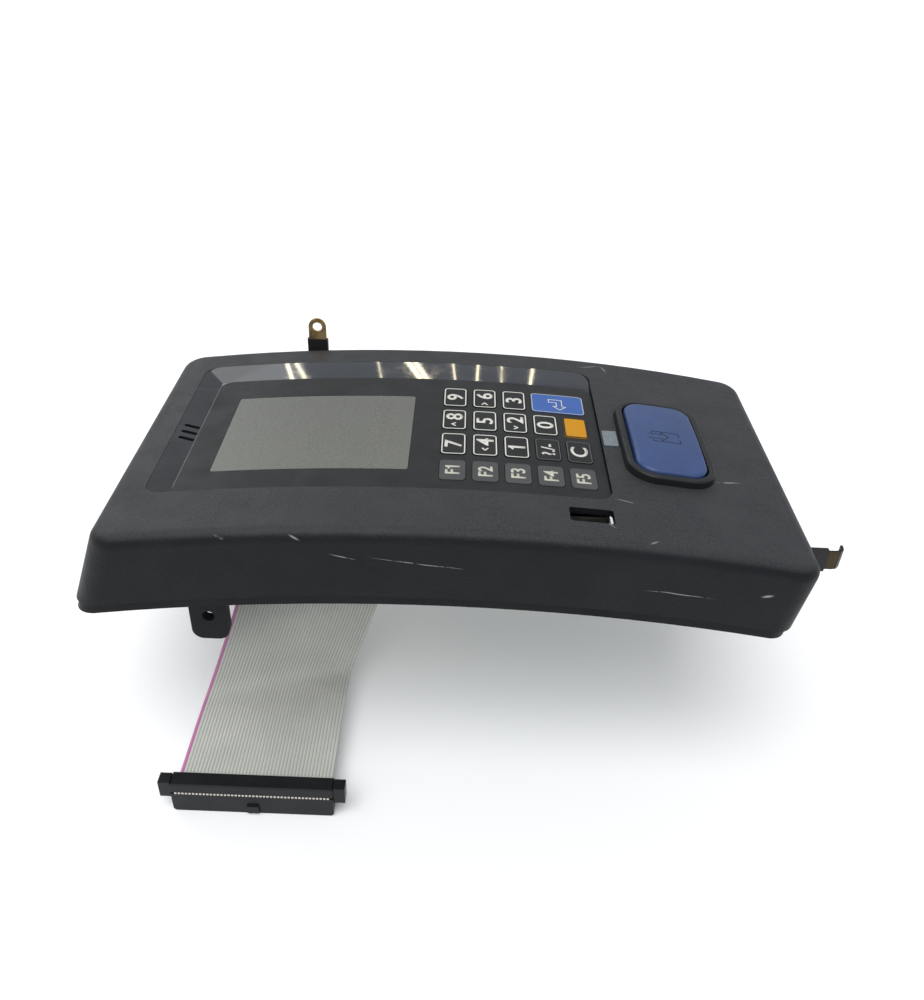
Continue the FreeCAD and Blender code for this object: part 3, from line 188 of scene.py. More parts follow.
# %% Ribbon mesh
distances = [0.0]
for before, after in zip(ribbon_line, ribbon_line[1:]):
    distances.append(distances[-1] + (after - before).length)
outline = section_outline()
ribbon_bm = bmesh.new()
uv_layer = ribbon_bm.loops.layers.uv.new("UVMap")
ring = [ribbon_bm.verts.new((across, 0, up)) for across, up in outline]
edges = [ribbon_bm.edges.new((a, b)) for a, b in zip(ring, ring[1:] + ring[:1])]
ring_of = {vert: 0 for vert in ring}
place_of = {vert: i for i, vert in enumerate(ring)}
for step in range(1, len(ribbon_line)):
    grown = bmesh.ops.extrude_edge_only(ribbon_bm, edges=edges)["geom"]
    new_edges = [g for g in grown if isinstance(g, bmesh.types.BMEdge)]
    old_faces = {f for e in edges for f in e.link_faces}
    edges = [e for e in new_edges if all(v not in ring_of for v in e.verts)]
    for face in old_faces:
        for vert in (v for v in face.verts if v not in ring_of):
            partners = (e.other_vert(vert) for e in vert.link_edges)
            place_of[vert] = place_of[next(v for v in partners if v in ring_of)]
    for edge in edges:
        for vert in edge.verts:
            ring_of[vert] = step
for vert, step in ring_of.items():
    across, up = outline[place_of[vert]]
    nearness = max(0.0, 1.0 - (ribbon_line[step] - CREASE_AT).length / CREASE_REACH)
    slant = CREASE_SLANT * nearness * nearness * (3 - 2 * nearness)
    # a point's distance along the line grows with how far across it lies
    reach = distances[step] + across * math.tan(slant)
    spot = along_line(distances, ribbon_line, reach)
    ahead = along_line(distances, ribbon_line, reach + LOOK_ALONG)
    behind = along_line(distances, ribbon_line, reach - LOOK_ALONG)
    ruling = Vector((math.cos(slant), math.sin(slant), 0))
    normal = (ahead - behind).cross(ruling).normalized()
    vert.co = spot + ruling * (across / math.cos(slant)) - normal * up
for face in ribbon_bm.faces:
    for loop in face.loops:
        across = outline[place_of[loop.vert]][0]
        loop[uv_layer].uv = (across / RIBBON_WIDTH + 0.5, distances[ring_of[loop.vert]])
bmesh.ops.holes_fill(ribbon_bm, edges=[e for e in ribbon_bm.edges if e.is_boundary], sides=0)
bmesh.ops.recalc_face_normals(ribbon_bm, faces=ribbon_bm.faces)
for face in ribbon_bm.faces:
    face.smooth = len(face.verts) == 4
ribbon = add_object("ribbon", ribbon_bm)
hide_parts("ribbon_cable")
print("ribbon", len(ribbon.data.vertices), "vertices")

# %% [markdown]
# ## Floor and light
#
# Dark plastic shows its shape only through what it reflects, so the light comes from a few large
# soft panels. A row of small bright strips high on the far side puts short glints on the
# polished slope of the surround, as ceiling lights do. The floor is at the socket's foot.

# %% Floor and light
FLOOR_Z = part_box("cable_socket_body")[0].z
FLOOR_HALF = 40.0
FLOOR_GAP = 0.2 * MM
floor_bm = bmesh.new()
bmesh.ops.create_grid(floor_bm, x_segments=1, y_segments=1, size=FLOOR_HALF)
bmesh.ops.translate(floor_bm, vec=(0, 0, FLOOR_Z - FLOOR_GAP), verts=floor_bm.verts)
floor_mesh = bpy.data.meshes.new("floor")
floor_bm.to_mesh(floor_mesh)
floor_bm.free()
floor = bpy.data.objects.new("floor", floor_mesh)
bpy.context.scene.collection.objects.link(floor)
LIT_PLACE = Vector((0.08, 0.06, 0.02))


def soft_light(name, place, size, power, colour=(1, 1, 1)):
    """A rectangular lamp that faces the panel."""
    lamp = bpy.data.lights.new(name, "AREA")
    lamp.shape = "RECTANGLE"
    lamp.size, lamp.size_y = size
    lamp.energy = power
    lamp.color = colour
    holder = bpy.data.objects.new(name, lamp)
    bpy.context.scene.collection.objects.link(holder)
    holder.location = place
    aim = LIT_PLACE - Vector(place)
    holder.rotation_euler = aim.to_track_quat("-Z", "Y").to_euler()
    return holder


# a broad soft panel on the far left lights the face, and strips behind it make the glints
soft_light("far_left", (-1.00, 1.10, 0.95), (1.3, 0.8), 4.8)
soft_light("far_panel", (-0.15, 1.60, 1.30), (1.7, 0.20), 0.5, (0.80, 0.90, 1.0))
WARM = (1.0, 0.88, 0.62)
GLINT_Y = 1.55
GLINT_HEIGHT = 0.22
# x, z, width, lean in degrees and power of each strip
GLINTS = (
    (-0.78, 1.36, 0.020, 10, 0.24), (-0.52, 1.33, 0.012, 8, 0.16), (-0.47, 1.31, 0.010, 20, 0.14),
    (-0.20, 1.31, 0.006, 10, 0.06), (-0.07, 1.31, 0.012, 42, 0.24), (-0.03, 1.33, 0.012, 42, 0.22),
    (0.07, 1.29, 0.007, 12, 0.09), (0.16, 1.30, 0.008, 0, 0.12), (0.25, 1.31, 0.006, 6, 0.08),
    (0.36, 1.31, 0.010, 0, 0.16),
)
for k, (x, z, wide, lean, power) in enumerate(GLINTS):
    strip = soft_light(f"glint_{k}", (x, GLINT_Y, z), (wide, GLINT_HEIGHT), power, WARM)
    strip.rotation_euler.rotate_axis("Z", math.radians(lean))

sun = bpy.data.lights.new("sun", "SUN")
sun.energy = 2.15
sun.angle = math.radians(50)
sun_holder = bpy.data.objects.new("sun", sun)
bpy.context.scene.collection.objects.link(sun_holder)
sun_holder.rotation_euler = (math.radians(24), math.radians(-8), 0)

world = bpy.data.worlds.new("world")
bpy.context.scene.world = world
world.use_nodes = True
world.node_tree.nodes["Background"].inputs[0].default_value = (0.93, 0.96, 1.0, 1)
world.node_tree.nodes["Background"].inputs[1].default_value = 0.60
print("floor at", round(FLOOR_Z, 4))

# %% [markdown]
# ## How the materials are built
#
# Every finish starts from one Principled shader. A slow noise shifts its colour a little, as
# dust and handling do, a second one varies its roughness, and a fine one gives the grain as a
# bump. All of them read Object coordinates, because every CAD piece has its origin at zero, so
# that the pattern stays on the piece when it moves.


# %% Node helpers
def node(tree, kind, values=None, **settings):
    """Adds a node, sets its properties, and fills or links its inputs."""
    made = tree.nodes.new(kind)
    for key, value in settings.items():
        setattr(made, key, value)
    for key, value in (values or {}).items():
        socket = made.inputs[key]
        if isinstance(value, bpy.types.NodeSocket):
            tree.links.new(value, socket)
        else:
            socket.default_value = value
    return made


def noise(tree, coords, scale, detail=3.0, roughness=0.55):
    values = {"Vector": coords, "Scale": scale, "Detail": detail, "Roughness": roughness}
    return node(tree, "ShaderNodeTexNoise", values).outputs["Fac"]


def spread(tree, value, low, high, to_low=0.0, to_high=1.0):
    """Stretches a value from one range to another, with soft ends."""
    values = {"Value": value, "From Min": low, "From Max": high,
              "To Min": to_low, "To Max": to_high}
    made = node(tree, "ShaderNodeMapRange", values, interpolation_type="SMOOTHSTEP")
    return made.outputs["Result"]


def mix(tree, factor, first, second):
    """Blends two colours."""
    made = node(tree, "ShaderNodeMix", {0: factor}, data_type="RGBA")
    for socket, value in ((made.inputs[6], first), (made.inputs[7], second)):
        if isinstance(value, bpy.types.NodeSocket):
            tree.links.new(value, socket)
        else:
            socket.default_value = value
    return made.outputs[2]


def math_node(tree, operation, first, second=0.0):
    return node(tree, "ShaderNodeMath", {0: first, 1: second}, operation=operation).outputs[0]


def rgb(red, green, blue):
    return (red, green, blue, 1.0)


def shaded(colour, by):
    return rgb(*(min(1.0, c * by) for c in colour[:3]))


def start_material(name):
    """A material with one Principled shader, and its Object coordinates."""
    material = bpy.data.materials.new(name)
    material.use_nodes = True
    tree = material.node_tree
    shader = tree.nodes["Principled BSDF"]
    coords = node(tree, "ShaderNodeTexCoord").outputs["Object"]
    return material, tree, shader, coords


def drive(tree, shader, socket, value):
    """Links a pattern to one of the shader's inputs."""
    tree.links.new(value, shader.inputs[socket])


def emboss(tree, shader, height, strength, depth_mm):
    """Turns a pattern into a bump."""
    values = {"Height": height, "Strength": strength, "Distance": depth_mm * MM}
    drive(tree, shader, "Normal", node(tree, "ShaderNodeBump", values).outputs[0])


def finish(name, colour, roughness, grain=2500.0, depth=0.15, mottle=0.12, bump_mm=0.02, coat=0.0,
           metallic=0.0, wear=0.08, specular=0.3):
    """The common finish: mottled colour, uneven gloss and a fine bumped grain.

    grain is the fine noise's scale, depth how much paler its specks are, mottle the slow change
    of colour, bump_mm the grain's height, and wear how far the gloss strays to each side.
    """
    material, tree, shader, coords = start_material(name)
    slow = spread(tree, noise(tree, coords, 35.0), 0.3, 0.7)
    fine = noise(tree, coords, grain, 2.0)
    body = mix(tree, slow, shaded(colour, 1 - mottle), shaded(colour, 1 + mottle))
    speckled = mix(tree, spread(tree, fine, 0.35, 0.75, 0.0, depth), body, shaded(colour, 1.7))
    drive(tree, shader, "Base Color", speckled)
    rubbed = noise(tree, coords, 90.0, 5.0)
    rough = spread(tree, rubbed, 0.25, 0.75, roughness - wear, roughness + wear)
    drive(tree, shader, "Roughness", rough)
    emboss(tree, shader, fine, 0.6, bump_mm)
    shader.inputs["Metallic"].default_value = metallic
    shader.inputs["Coat Weight"].default_value = coat
    shader.inputs["Specular IOR Level"].default_value = specular
    return material


def dress(material, *names):
    """Puts a material on CAD nodes or pieces."""
    for name in names:
        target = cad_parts.get(name) or bpy.data.objects[name]
        target.data.materials.clear()
        target.data.materials.append(material)


print("helpers ready")

# %% [markdown]
# ## The cover's charcoal plastic
#
# The mould for this cover was spark-eroded, which leaves a fine even pebble. Years of use add
# pale hairline scratches and rubbed spots. Each mark is a thin ellipsoid in space: a Mapping
# node squeezes it into a unit ball, and the distance from its middle says how deep in the mark
# a point lies. Noise bends the coordinates first, so that no scratch is quite straight.

# %% Cover material
CHARCOAL = rgb(0.0066, 0.0080, 0.0098)
# the pale colour of upward faces: partly dust, partly painted top light
DUST_AND_TOP_LIGHT = rgb(0.060, 0.062, 0.066)
SPECK = rgb(0.10, 0.105, 0.11)
SCRATCH = rgb(0.30, 0.31, 0.32)
SCRATCH_WAVER = 0.0016
# middle, turn about x y z in degrees, half lengths in millimetres
SCRATCHES = (
    ((0.1392, 0.1200, 0.0406), (0, 0, 21), (6.5, 0.35, 2.0)),
    ((0.1452, 0.1190, 0.0401), (0, 0, -70), (3.2, 0.40, 2.0)),
    ((0.1830, 0.0410, 0.0361), (0, 0, 14), (6.4, 0.45, 3.0)),
    ((0.1420, 0.0205, 0.0404), (0, 0, -14), (5.2, 0.30, 2.0)),
    ((0.2075, 0.0702, 0.0322), (0, 0, -18), (7.0, 0.32, 3.0)),
    ((0.1341, 0.0068, 0.0410), (0, 0, -46), (4.4, 0.30, 2.0)),
    ((0.1484, -0.0016, 0.0397), (0, 0, 33), (2.2, 0.55, 2.0)),
    ((0.0480, -0.0060, 0.0322), (0, 12, 0), (5.8, 2.0, 0.30)),
    ((0.0730, -0.0060, 0.0306), (0, 6.5, 0), (19.5, 2.0, 0.26)),
    ((0.0075, -0.0060, 0.0376), (0, 18, 0), (3.4, 2.0, 0.45)),
    ((0.0323, -0.0060, 0.0391), (0, 24, 0), (2.8, 2.0, 0.45)),
    ((0.1590, -0.0060, 0.0222), (0, 6, 0), (14.0, 2.0, 0.30)),
    ((0.1880, -0.0060, 0.0230), (0, -10, 0), (2.6, 2.0, 0.70)),
    ((0.0250, 0.1270, 0.0380), (0, 4, 0), (12.0, 2.5, 0.35)),
    ((-0.0300, 0.0800, 0.0330), (0, 0, 64), (5.0, 0.35, 3.0)),
)


def scratch_mask(tree, coords):
    """How deep in any scratch a point is, from 0 to 1."""
    bend = node(tree, "ShaderNodeTexNoise", {"Vector": coords, "Scale": 60.0, "Detail": 2.0})
    shift = node(tree, "ShaderNodeVectorMath", {0: bend.outputs["Color"], 1: (0.5, 0.5, 0.5)},
                 operation="SUBTRACT").outputs[0]
    small = node(tree, "ShaderNodeVectorMath", {0: shift, "Scale": SCRATCH_WAVER},
                 operation="SCALE").outputs[0]
    bent = node(tree, "ShaderNodeVectorMath", {0: coords, 1: small}, operation="ADD").outputs[0]
    total = None
    for place, turned, halves in SCRATCHES:
        values = {"Vector": bent, "Location": place, "Scale": [h * MM for h in halves],
                  "Rotation": [math.radians(a) for a in turned]}
        inside = node(tree, "ShaderNodeMapping", values, vector_type="TEXTURE").outputs[0]
        distance = node(tree, "ShaderNodeVectorMath", {0: inside}, operation="LENGTH")
        mark = spread(tree, distance.outputs["Value"], 0.25, 1.0, 1.0, 0.0)
        total = mark if total is None else math_node(tree, "MAXIMUM", total, mark)
    broken = spread(tree, noise(tree, coords, 420.0, 3.0), 0.33, 0.55)
    return math_node(tree, "MULTIPLY", total, broken)


def cover_material():
    material, tree, shader, coords = start_material("spark_eroded_charcoal")
    pebble = node(tree, "ShaderNodeTexVoronoi", {"Vector": coords, "Scale": 1150.0})
    fine = noise(tree, coords, 2100.0, 2.0)
    grain = math_node(tree, "ADD", math_node(tree, "MULTIPLY", pebble.outputs["Distance"], 0.7),
                      math_node(tree, "MULTIPLY", fine, 0.5))
    slow = spread(tree, noise(tree, coords, 22.0, 4.0), 0.3, 0.7)
    base = mix(tree, slow, shaded(CHARCOAL, 0.86), shaded(CHARCOAL, 1.16))
    # an even pale film on what faces up is dust and also painted top light, because the top faces
    # the lamps; dust specks also gather in patches
    normal = node(tree, "ShaderNodeTexCoord").outputs["Normal"]
    facing = node(tree, "ShaderNodeSeparateXYZ", {0: normal}).outputs["Z"]
    dust_and_top_light = mix(tree, spread(tree, facing, 0.55, 1.0, 0.0, 0.62), base, DUST_AND_TOP_LIGHT)
    pores = spread(tree, fine, 0.40, 0.66, 0.0, 0.5)
    speckled = mix(tree, pores, dust_and_top_light, shaded(CHARCOAL, 0.55))
    patches = spread(tree, noise(tree, coords, 60.0, 6.0), 0.4, 0.75)
    specks = math_node(tree, "MULTIPLY", spread(tree, fine, 0.45, 0.8), patches)
    lying = spread(tree, facing, 0.2, 0.9, 0.10, 0.40)
    dusty = mix(tree, math_node(tree, "MULTIPLY", specks, lying), speckled, SPECK)
    marks = scratch_mask(tree, coords)
    scratched = mix(tree, math_node(tree, "MULTIPLY", marks, 0.8), dusty, SCRATCH)
    drive(tree, shader, "Base Color", scratched)
    rough = spread(tree, noise(tree, coords, 80.0, 5.0), 0.25, 0.75, 0.40, 0.54)
    rougher = math_node(tree, "ADD", rough, math_node(tree, "MULTIPLY", marks, 0.15))
    drive(tree, shader, "Roughness", rougher)
    height = math_node(tree, "SUBTRACT", grain, math_node(tree, "MULTIPLY", marks, 1.2))
    emboss(tree, shader, height, 0.9, 0.12)
    shader.inputs["Specular IOR Level"].default_value = 0.16
    return material


dress(cover_material(), "front_cover")
print("cover marks", len(SCRATCHES))

# %% [markdown]
# ## Surround, film and screen
#
# The surround is the same plastic from a polished tool. Its far slope is still nearly a mirror,
# and the rest is dull from hands, so the Y coordinate drives both the haze and the clear coat.
# The film stuck in it is matt with a very fine grain, and the thin pale line along its cut end
# is a painted highlight. The switched-off screen is a grey-olive sheet behind an anti-glare lens,
# with its sparkles of light painted as pale specks, and a painted light that makes it a little
# lighter towards its near edge.

# %% Surround, film and screen materials
POLISHED_FROM = (0.092, 0.100)
FILM_EDGE_HIGHLIGHT = rgb(0.16, 0.165, 0.17)


def surround_material():
    material, tree, shader, coords = start_material("polished_charcoal")
    slow = spread(tree, noise(tree, coords, 30.0), 0.3, 0.7)
    charcoal = mix(tree, slow, rgb(0.006, 0.008, 0.012), rgb(0.012, 0.014, 0.020))
    drive(tree, shader, "Base Color", charcoal)
    haze = spread(tree, noise(tree, coords, 130.0, 6.0), 0.45, 0.8, 0.035, 0.13)
    side = node(tree, "ShaderNodeSeparateXYZ", {0: coords}).outputs["Y"]
    handled = spread(tree, side, *POLISHED_FROM, 0.38, 0.0)
    drive(tree, shader, "Roughness", math_node(tree, "ADD", haze, handled))
    streak = node(tree, "ShaderNodeMapping", {"Vector": coords, "Scale": (60.0, 900.0, 60.0)})
    emboss(tree, shader, noise(tree, streak.outputs[0], 1.0, 2.0), 0.15, 0.01)
    shader.inputs["Specular IOR Level"].default_value = 0.26
    drive(tree, shader, "Coat Weight", spread(tree, side, *POLISHED_FROM, 0.0, 0.40))
    shader.inputs["Coat Roughness"].default_value = 0.04
    return material


def screen_material():
    material, tree, shader, coords = start_material("screen_switched_off")
    low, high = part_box("screen_window")
    parts = node(tree, "ShaderNodeSeparateXYZ", {0: coords}).outputs
    across = spread(tree, parts["Y"], low.y, high.y)
    # painted light: the screen is a little lighter towards its near edge
    base = mix(tree, across, rgb(0.106, 0.110, 0.096), rgb(0.096, 0.099, 0.092))
    cloud = spread(tree, noise(tree, coords, 40.0, 4.0), 0.3, 0.7, 0.0, 0.25)
    cloudy = mix(tree, cloud, base, rgb(0.100, 0.103, 0.094))
    # pale specks painted into the colour stand in for the lens's sparkles of light
    sparkle = noise(tree, coords, 1500.0, 1.0)
    bright = spread(tree, sparkle, 0.35, 0.72, 0.0, 0.5)
    drive(tree, shader, "Base Color", mix(tree, bright, cloudy, rgb(0.185, 0.188, 0.168)))
    drive(tree, shader, "Roughness", spread(tree, sparkle, 0.3, 0.7, 0.30, 0.42))
    emboss(tree, shader, sparkle, 0.35, 0.02)
    shader.inputs["Specular IOR Level"].default_value = 0.3
    return material


def film_material():
    """The common finish, with a painted highlight: a pale line along the film's end."""
    material = finish("keypad_film", rgb(0.0185, 0.0195, 0.0210), 0.48, 1900.0, 0.14, 0.10, 0.012,
                      specular=0.16)
    tree = material.node_tree
    shader = tree.nodes["Principled BSDF"]
    coords = node(tree, "ShaderNodeTexCoord").outputs["Object"]
    along = node(tree, "ShaderNodeSeparateXYZ", {0: coords}).outputs["X"]
    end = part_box("keypad_film")[0].x
    # painted highlight: a thin pale line along the film's end
    edge = spread(tree, along, end + 0.15 * MM, end + 0.40 * MM, 0.7, 0.0)
    plain = shader.inputs["Base Color"].links[0].from_socket
    drive(tree, shader, "Base Color", mix(tree, edge, plain, FILM_EDGE_HIGHLIGHT))
    return material


film = film_material()
dress(surround_material(), "display_surround")
dress(film, "keypad_film")
dress(screen_material(), "screen_window")
print("surround, film and screen dressed")

# %% [markdown]
# ## Key plastics
#
# The keys are printed on the same film material, so the dark ones match it. The function keys
# are dark grey, the return key blue, and one blank key orange.

# %% Key materials
KEY_NODES = sorted(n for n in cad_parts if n.startswith("key_") and n != "key_domes")
FUNCTION_KEYS = [f"key_f{k}" for k in range(1, 6)]
# colour, roughness, depth of the specks, mottle, specular level, and the keys that have it
KEY_FINISHES = {
    "key_dark": (rgb(0.0170, 0.0180, 0.0190), 0.46, 0.14, 0.10, 0.16, KEY_NODES),
    "key_grey": (rgb(0.062, 0.063, 0.064), 0.48, 0.12, 0.08, 0.16, FUNCTION_KEYS),
    "key_blue": (rgb(0.042, 0.105, 0.330), 0.44, 0.04, 0.07, 0.2, ["key_enter"]),
    "key_orange": (rgb(0.50, 0.225, 0.002), 0.44, 0.03, 0.05, 0.2, ["key_menu"]),
}
for name, (colour, rough, depth, mottle, specular, keys) in KEY_FINISHES.items():
    dress(finish(name, colour, rough, 1900.0, depth, mottle, 0.012, specular=specular), *keys)
print("keys", len(KEY_NODES))

# %% [markdown]
# ## What is printed on the keys
#
# Each figure key has a rounded white outline and a figure, and four of them an arrowhead. The
# print stands a few hundredths of a millimetre proud. An outline starts as one square face:
# its corners are bevelled, it is inset, and the middle is taken away. Figures are text objects
# turned into meshes. All of it is then dropped onto the bent face by the height of its arc.

# %% Print helpers
FACE_RADIUS = 0.754
CREST = Vector((0.0822, 0.0, 0.0428))
KEY_TOP_DEPTH = 0.95 * MM
KEY_LIP = 0.8 * MM
PRINT_PROUD = 0.05 * MM
PRINT_THICK = 0.05 * MM
FIGURE_SHARE = 0.7  # a figure's height as a share of the text size
ARM_SPREAD = 38  # degrees between an arrowhead's arm and its axis


def bent_height(x, depth):
    """Height of the bent surface at a depth below the face."""
    return math.sqrt((FACE_RADIUS - depth) ** 2 - (x - CREST.x) ** 2) - FACE_RADIUS + CREST.z


def rounded_face(bm, x, y, size_x, size_y, radius):
    """One flat face with rounded corners."""
    corners = bmesh.ops.create_grid(bm, x_segments=1, y_segments=1, size=0.5)["verts"]
    bmesh.ops.scale(bm, vec=(size_x, size_y, 1), verts=corners)
    bmesh.ops.translate(bm, vec=(x, y, 0), verts=corners)
    bmesh.ops.bevel(bm, geom=corners, offset=radius, offset_type="OFFSET", segments=5,
                    profile=0.5, affect="VERTICES", material=-1)


def outline_ring(bm, x, y, size_x, size_y, radius, width):
    """A rounded outline of even width."""
    part = bmesh.new()
    rounded_face(part, x, y, size_x, size_y, radius)
    part.faces.ensure_lookup_table()
    inner = part.faces[:]
    bmesh.ops.inset_region(part, faces=inner, thickness=width, use_boundary=True,
                           use_even_offset=True)
    bmesh.ops.delete(part, geom=inner, context="FACES")
    mesh = bpy.data.meshes.new("ring")
    part.to_mesh(mesh)
    part.free()
    bm.from_mesh(mesh)
    bpy.data.meshes.remove(mesh)


def letters(bm, text, x, y, height, stretch=1.0, weight=0.0):
    """Text that reads towards +Y, with its top towards -X."""
    curve = bpy.data.curves.new("letters", "FONT")
    curve.body = text
    curve.size = height / FIGURE_SHARE
    curve.offset = weight
    curve.resolution_u = 4
    curve.align_x = "CENTER"
    curve.align_y = "CENTER"
    holder = bpy.data.objects.new("letters", curve)
    mesh = bpy.data.meshes.new_from_object(holder)
    low = [min(v.co[i] for v in mesh.vertices) for i in (0, 1)]
    high = [max(v.co[i] for v in mesh.vertices) for i in (0, 1)]
    centre = Vector(((low[0] + high[0]) / 2, (low[1] + high[1]) / 2, 0))
    place = Matrix.Translation((x, y, 0)) @ Matrix.Rotation(math.pi / 2, 4, "Z")
    mesh.transform(place @ Matrix.Diagonal((stretch, 1, 1, 1)) @ Matrix.Translation(-centre))
    bm.from_mesh(mesh)
    bpy.data.objects.remove(holder)
    bpy.data.meshes.remove(mesh)


def stroke(bm, start, end, width):
    """A thin flat strip from one point to another."""
    a, b = Vector((*start, 0)), Vector((*end, 0))
    strip = bmesh.ops.create_grid(bm, x_segments=4, y_segments=1, size=0.5)["verts"]
    bmesh.ops.scale(bm, vec=((b - a).length + width, width, 1), verts=strip)
    angle = math.atan2(b.y - a.y, b.x - a.x)
    place = Matrix.Translation((a + b) / 2) @ Matrix.Rotation(angle, 4, "Z")
    bmesh.ops.transform(bm, matrix=place, verts=strip)


def flag_on_one(bm, height):
    """The short slanted stroke that makes a figure one of a plain bar."""
    bar_y = max(v.co.y for v in bm.verts) - 0.09 * height
    top = min(v.co.x for v in bm.verts)
    tip = (top + 0.27 * height, bar_y - 0.24 * height)
    stroke(bm, (top + 0.10 * height, bar_y), tip, 0.12 * height)


def arrowhead(bm, x, y, size, direction, width):
    """An open arrowhead of two strokes. direction is in degrees from +X."""
    for side in (-1, 1):
        arm = bmesh.ops.create_grid(bm, x_segments=1, y_segments=1, size=0.5)["verts"]
        bmesh.ops.scale(bm, vec=(size, width, 1), verts=arm)
        bmesh.ops.translate(bm, vec=(-size / 2 + width * 0.3, 0, 0), verts=arm)
        turn_by = Matrix.Rotation(math.radians(direction + side * ARM_SPREAD), 4, "Z")
        bmesh.ops.transform(bm, matrix=turn_by, verts=arm)
        bmesh.ops.translate(bm, vec=(x, y, 0), verts=arm)


def drop_on_face(bm, depth, proud, thick=PRINT_THICK):
    """Gives flat print its thickness and lays it on the bent surface."""
    bmesh.ops.recalc_face_normals(bm, faces=bm.faces)
    for face in bm.faces:
        if face.normal.z < 0:
            face.normal_flip()
    grown = bmesh.ops.extrude_face_region(bm, geom=bm.faces[:])["geom"]
    raised = [g for g in grown if isinstance(g, bmesh.types.BMVert)]
    bmesh.ops.translate(bm, vec=(0, 0, thick), verts=raised)
    bmesh.ops.recalc_face_normals(bm, faces=bm.faces)
    for vert in bm.verts:
        vert.co.z += bent_height(vert.co.x, depth) + proud - thick


def print_ink(name, red, green, blue):
    return finish(name, rgb(red, green, blue), 0.5, 1500.0, 0.05, 0.06, 0.006)


white_print = print_ink("white_print", 0.62, 0.61, 0.56)
grey_print = print_ink("grey_print", 0.16, 0.16, 0.16)
cream_print = print_ink("cream_print", 0.50, 0.50, 0.42)
print("print helpers ready")

# %% [markdown]
# ## Outlines and figures, key by key
#
# One table says what each key shows. A loop reads each key's own box, so the print sits on the
# key wherever the CAD model puts it, and rides on that key's body when it is pressed.

# %% Key prints
OUTLINE_WIDTH = 0.42 * MM
THIN_OUTLINE = 0.16 * MM
OUTLINE_MARGIN = 0.5 * MM
OUTLINE_CORNER = 1.4 * MM
FIGURE_HEIGHT = 6.2 * MM
FUNCTION_HEIGHT = 5.0 * MM
SYMBOLS_HEIGHT = 4.8 * MM
FIGURE_STRETCH = 1.15
FIGURE_WEIGHT = 0.15 * MM
FIGURE_SHIFT = 2.1 * MM
ARROW_OFFSET = 3.6 * MM
ARROW_NUDGE = 0.9 * MM
ARROW_SIZE = 2.0 * MM
ARROW_WIDTH = 0.55 * MM
ARROW_TURN = {"^": 180, "v": 0, "<": -90, ">": 90}
KEY_PRINT = {
    "key_7": ("7", ""), "key_8": ("8", "^"), "key_9": ("9", ""),
    "key_4": ("4", "<"), "key_5": ("5", ""), "key_6": ("6", ">"),
    "key_1": ("1", ""), "key_2": ("2", "v"), "key_3": ("3", ""), "key_0": ("0", ""),
    "key_symbols": ("?./-", ""), "key_clear": ("C", ""),
    "key_f1": ("F1", ""), "key_f2": ("F2", ""), "key_f3": ("F3", ""),
    "key_f4": ("F4", ""), "key_f5": ("F5", ""),
}


def key_pad(name):
    """Middle and size of a key's pad, which is smaller than its box by the hidden lip."""
    low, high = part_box(name)
    return (low + high) / 2, (high.x - low.x - 2 * KEY_LIP), (high.y - low.y - 2 * KEY_LIP)


def print_piece(name, bm, material, key):
    drop_on_face(bm, KEY_TOP_DEPTH, PRINT_PROUD)
    piece = add_object(name, bm, key + "_pad")
    piece.data.materials.append(material)


for key, (text, arrow) in KEY_PRINT.items():
    centre, size_x, size_y = key_pad(key)
    bm = bmesh.new()
    function_key = key in FUNCTION_KEYS
    if not function_key:
        thin = key in ("key_symbols", "key_clear")
        ring_bm = bmesh.new()
        outline_ring(ring_bm, centre.x, centre.y, size_x - OUTLINE_MARGIN, size_y - OUTLINE_MARGIN,
                     OUTLINE_CORNER, THIN_OUTLINE if thin else OUTLINE_WIDTH)
        print_piece(key + "_outline", ring_bm, grey_print if thin else white_print, key)
    if arrow:
        nudge = {"v": ARROW_NUDGE, "^": -ARROW_NUDGE}.get(arrow, 0.0)
        arrowhead(bm, centre.x + nudge, centre.y - ARROW_OFFSET, ARROW_SIZE, ARROW_TURN[arrow],
                  ARROW_WIDTH)
    height = FUNCTION_HEIGHT if function_key else FIGURE_HEIGHT
    if key == "key_symbols":
        height = SYMBOLS_HEIGHT
    letters(bm, text, centre.x, centre.y + (FIGURE_SHIFT if arrow else 0.0), height,
            FIGURE_STRETCH if len(text) == 1 else 1.0, FIGURE_WEIGHT)
    if text.endswith("1"):
        flag_on_one(bm, height)
    print_piece(key + "_figure", bm, cream_print if function_key else white_print, key)
print("printed", len(KEY_PRINT), "keys")

# %% [markdown]
# ## The return key and the orange key
#
# The return key has a thin pale border and an outlined arrow that runs towards the far end,
# turns, and points back. The arrow is a polygon of a few vertices, inset to leave its outline:
# a face made from vertices has no normal yet, and the inset needs one. The orange key only has
# a dark border. Both borders are cut across in a few places, so that they can follow the bend.

# %% Return and orange keys
centre, size_x, size_y = key_pad("key_enter")
enter_bm = bmesh.new()
# the arrow's corners in units of 0.9 mm, first along the key, then across it
ARROW = ((-3.6, -1.2), (2.2, -1.2), (2.2, -3.0), (5.6, 0.2), (2.2, 3.4), (2.2, 1.6), (-0.8, 1.6),
         (-0.8, 5.0), (-3.6, 5.0))
ARROW_UNIT = 0.9 * MM
ARROW_LINE = 0.32 * MM
arrow_points = [enter_bm.verts.new((centre.x - (across - 1) * ARROW_UNIT,
                                    centre.y - along * ARROW_UNIT, 0)) for along, across in ARROW]
arrow_face = enter_bm.faces.new(arrow_points)
arrow_face.normal_update()
bmesh.ops.inset_region(enter_bm, faces=[arrow_face], thickness=ARROW_LINE, use_boundary=True,
                       use_even_offset=True)
bmesh.ops.delete(enter_bm, geom=[arrow_face], context="FACES")
print_piece("key_enter_arrow", enter_bm, white_print, "key_enter")
pale_print = print_ink("pale_print", 0.34, 0.36, 0.38)
BORDER_MARGIN = 0.05 * MM
BORDER_CORNER = 1.55 * MM
BORDER_PARTS = 6
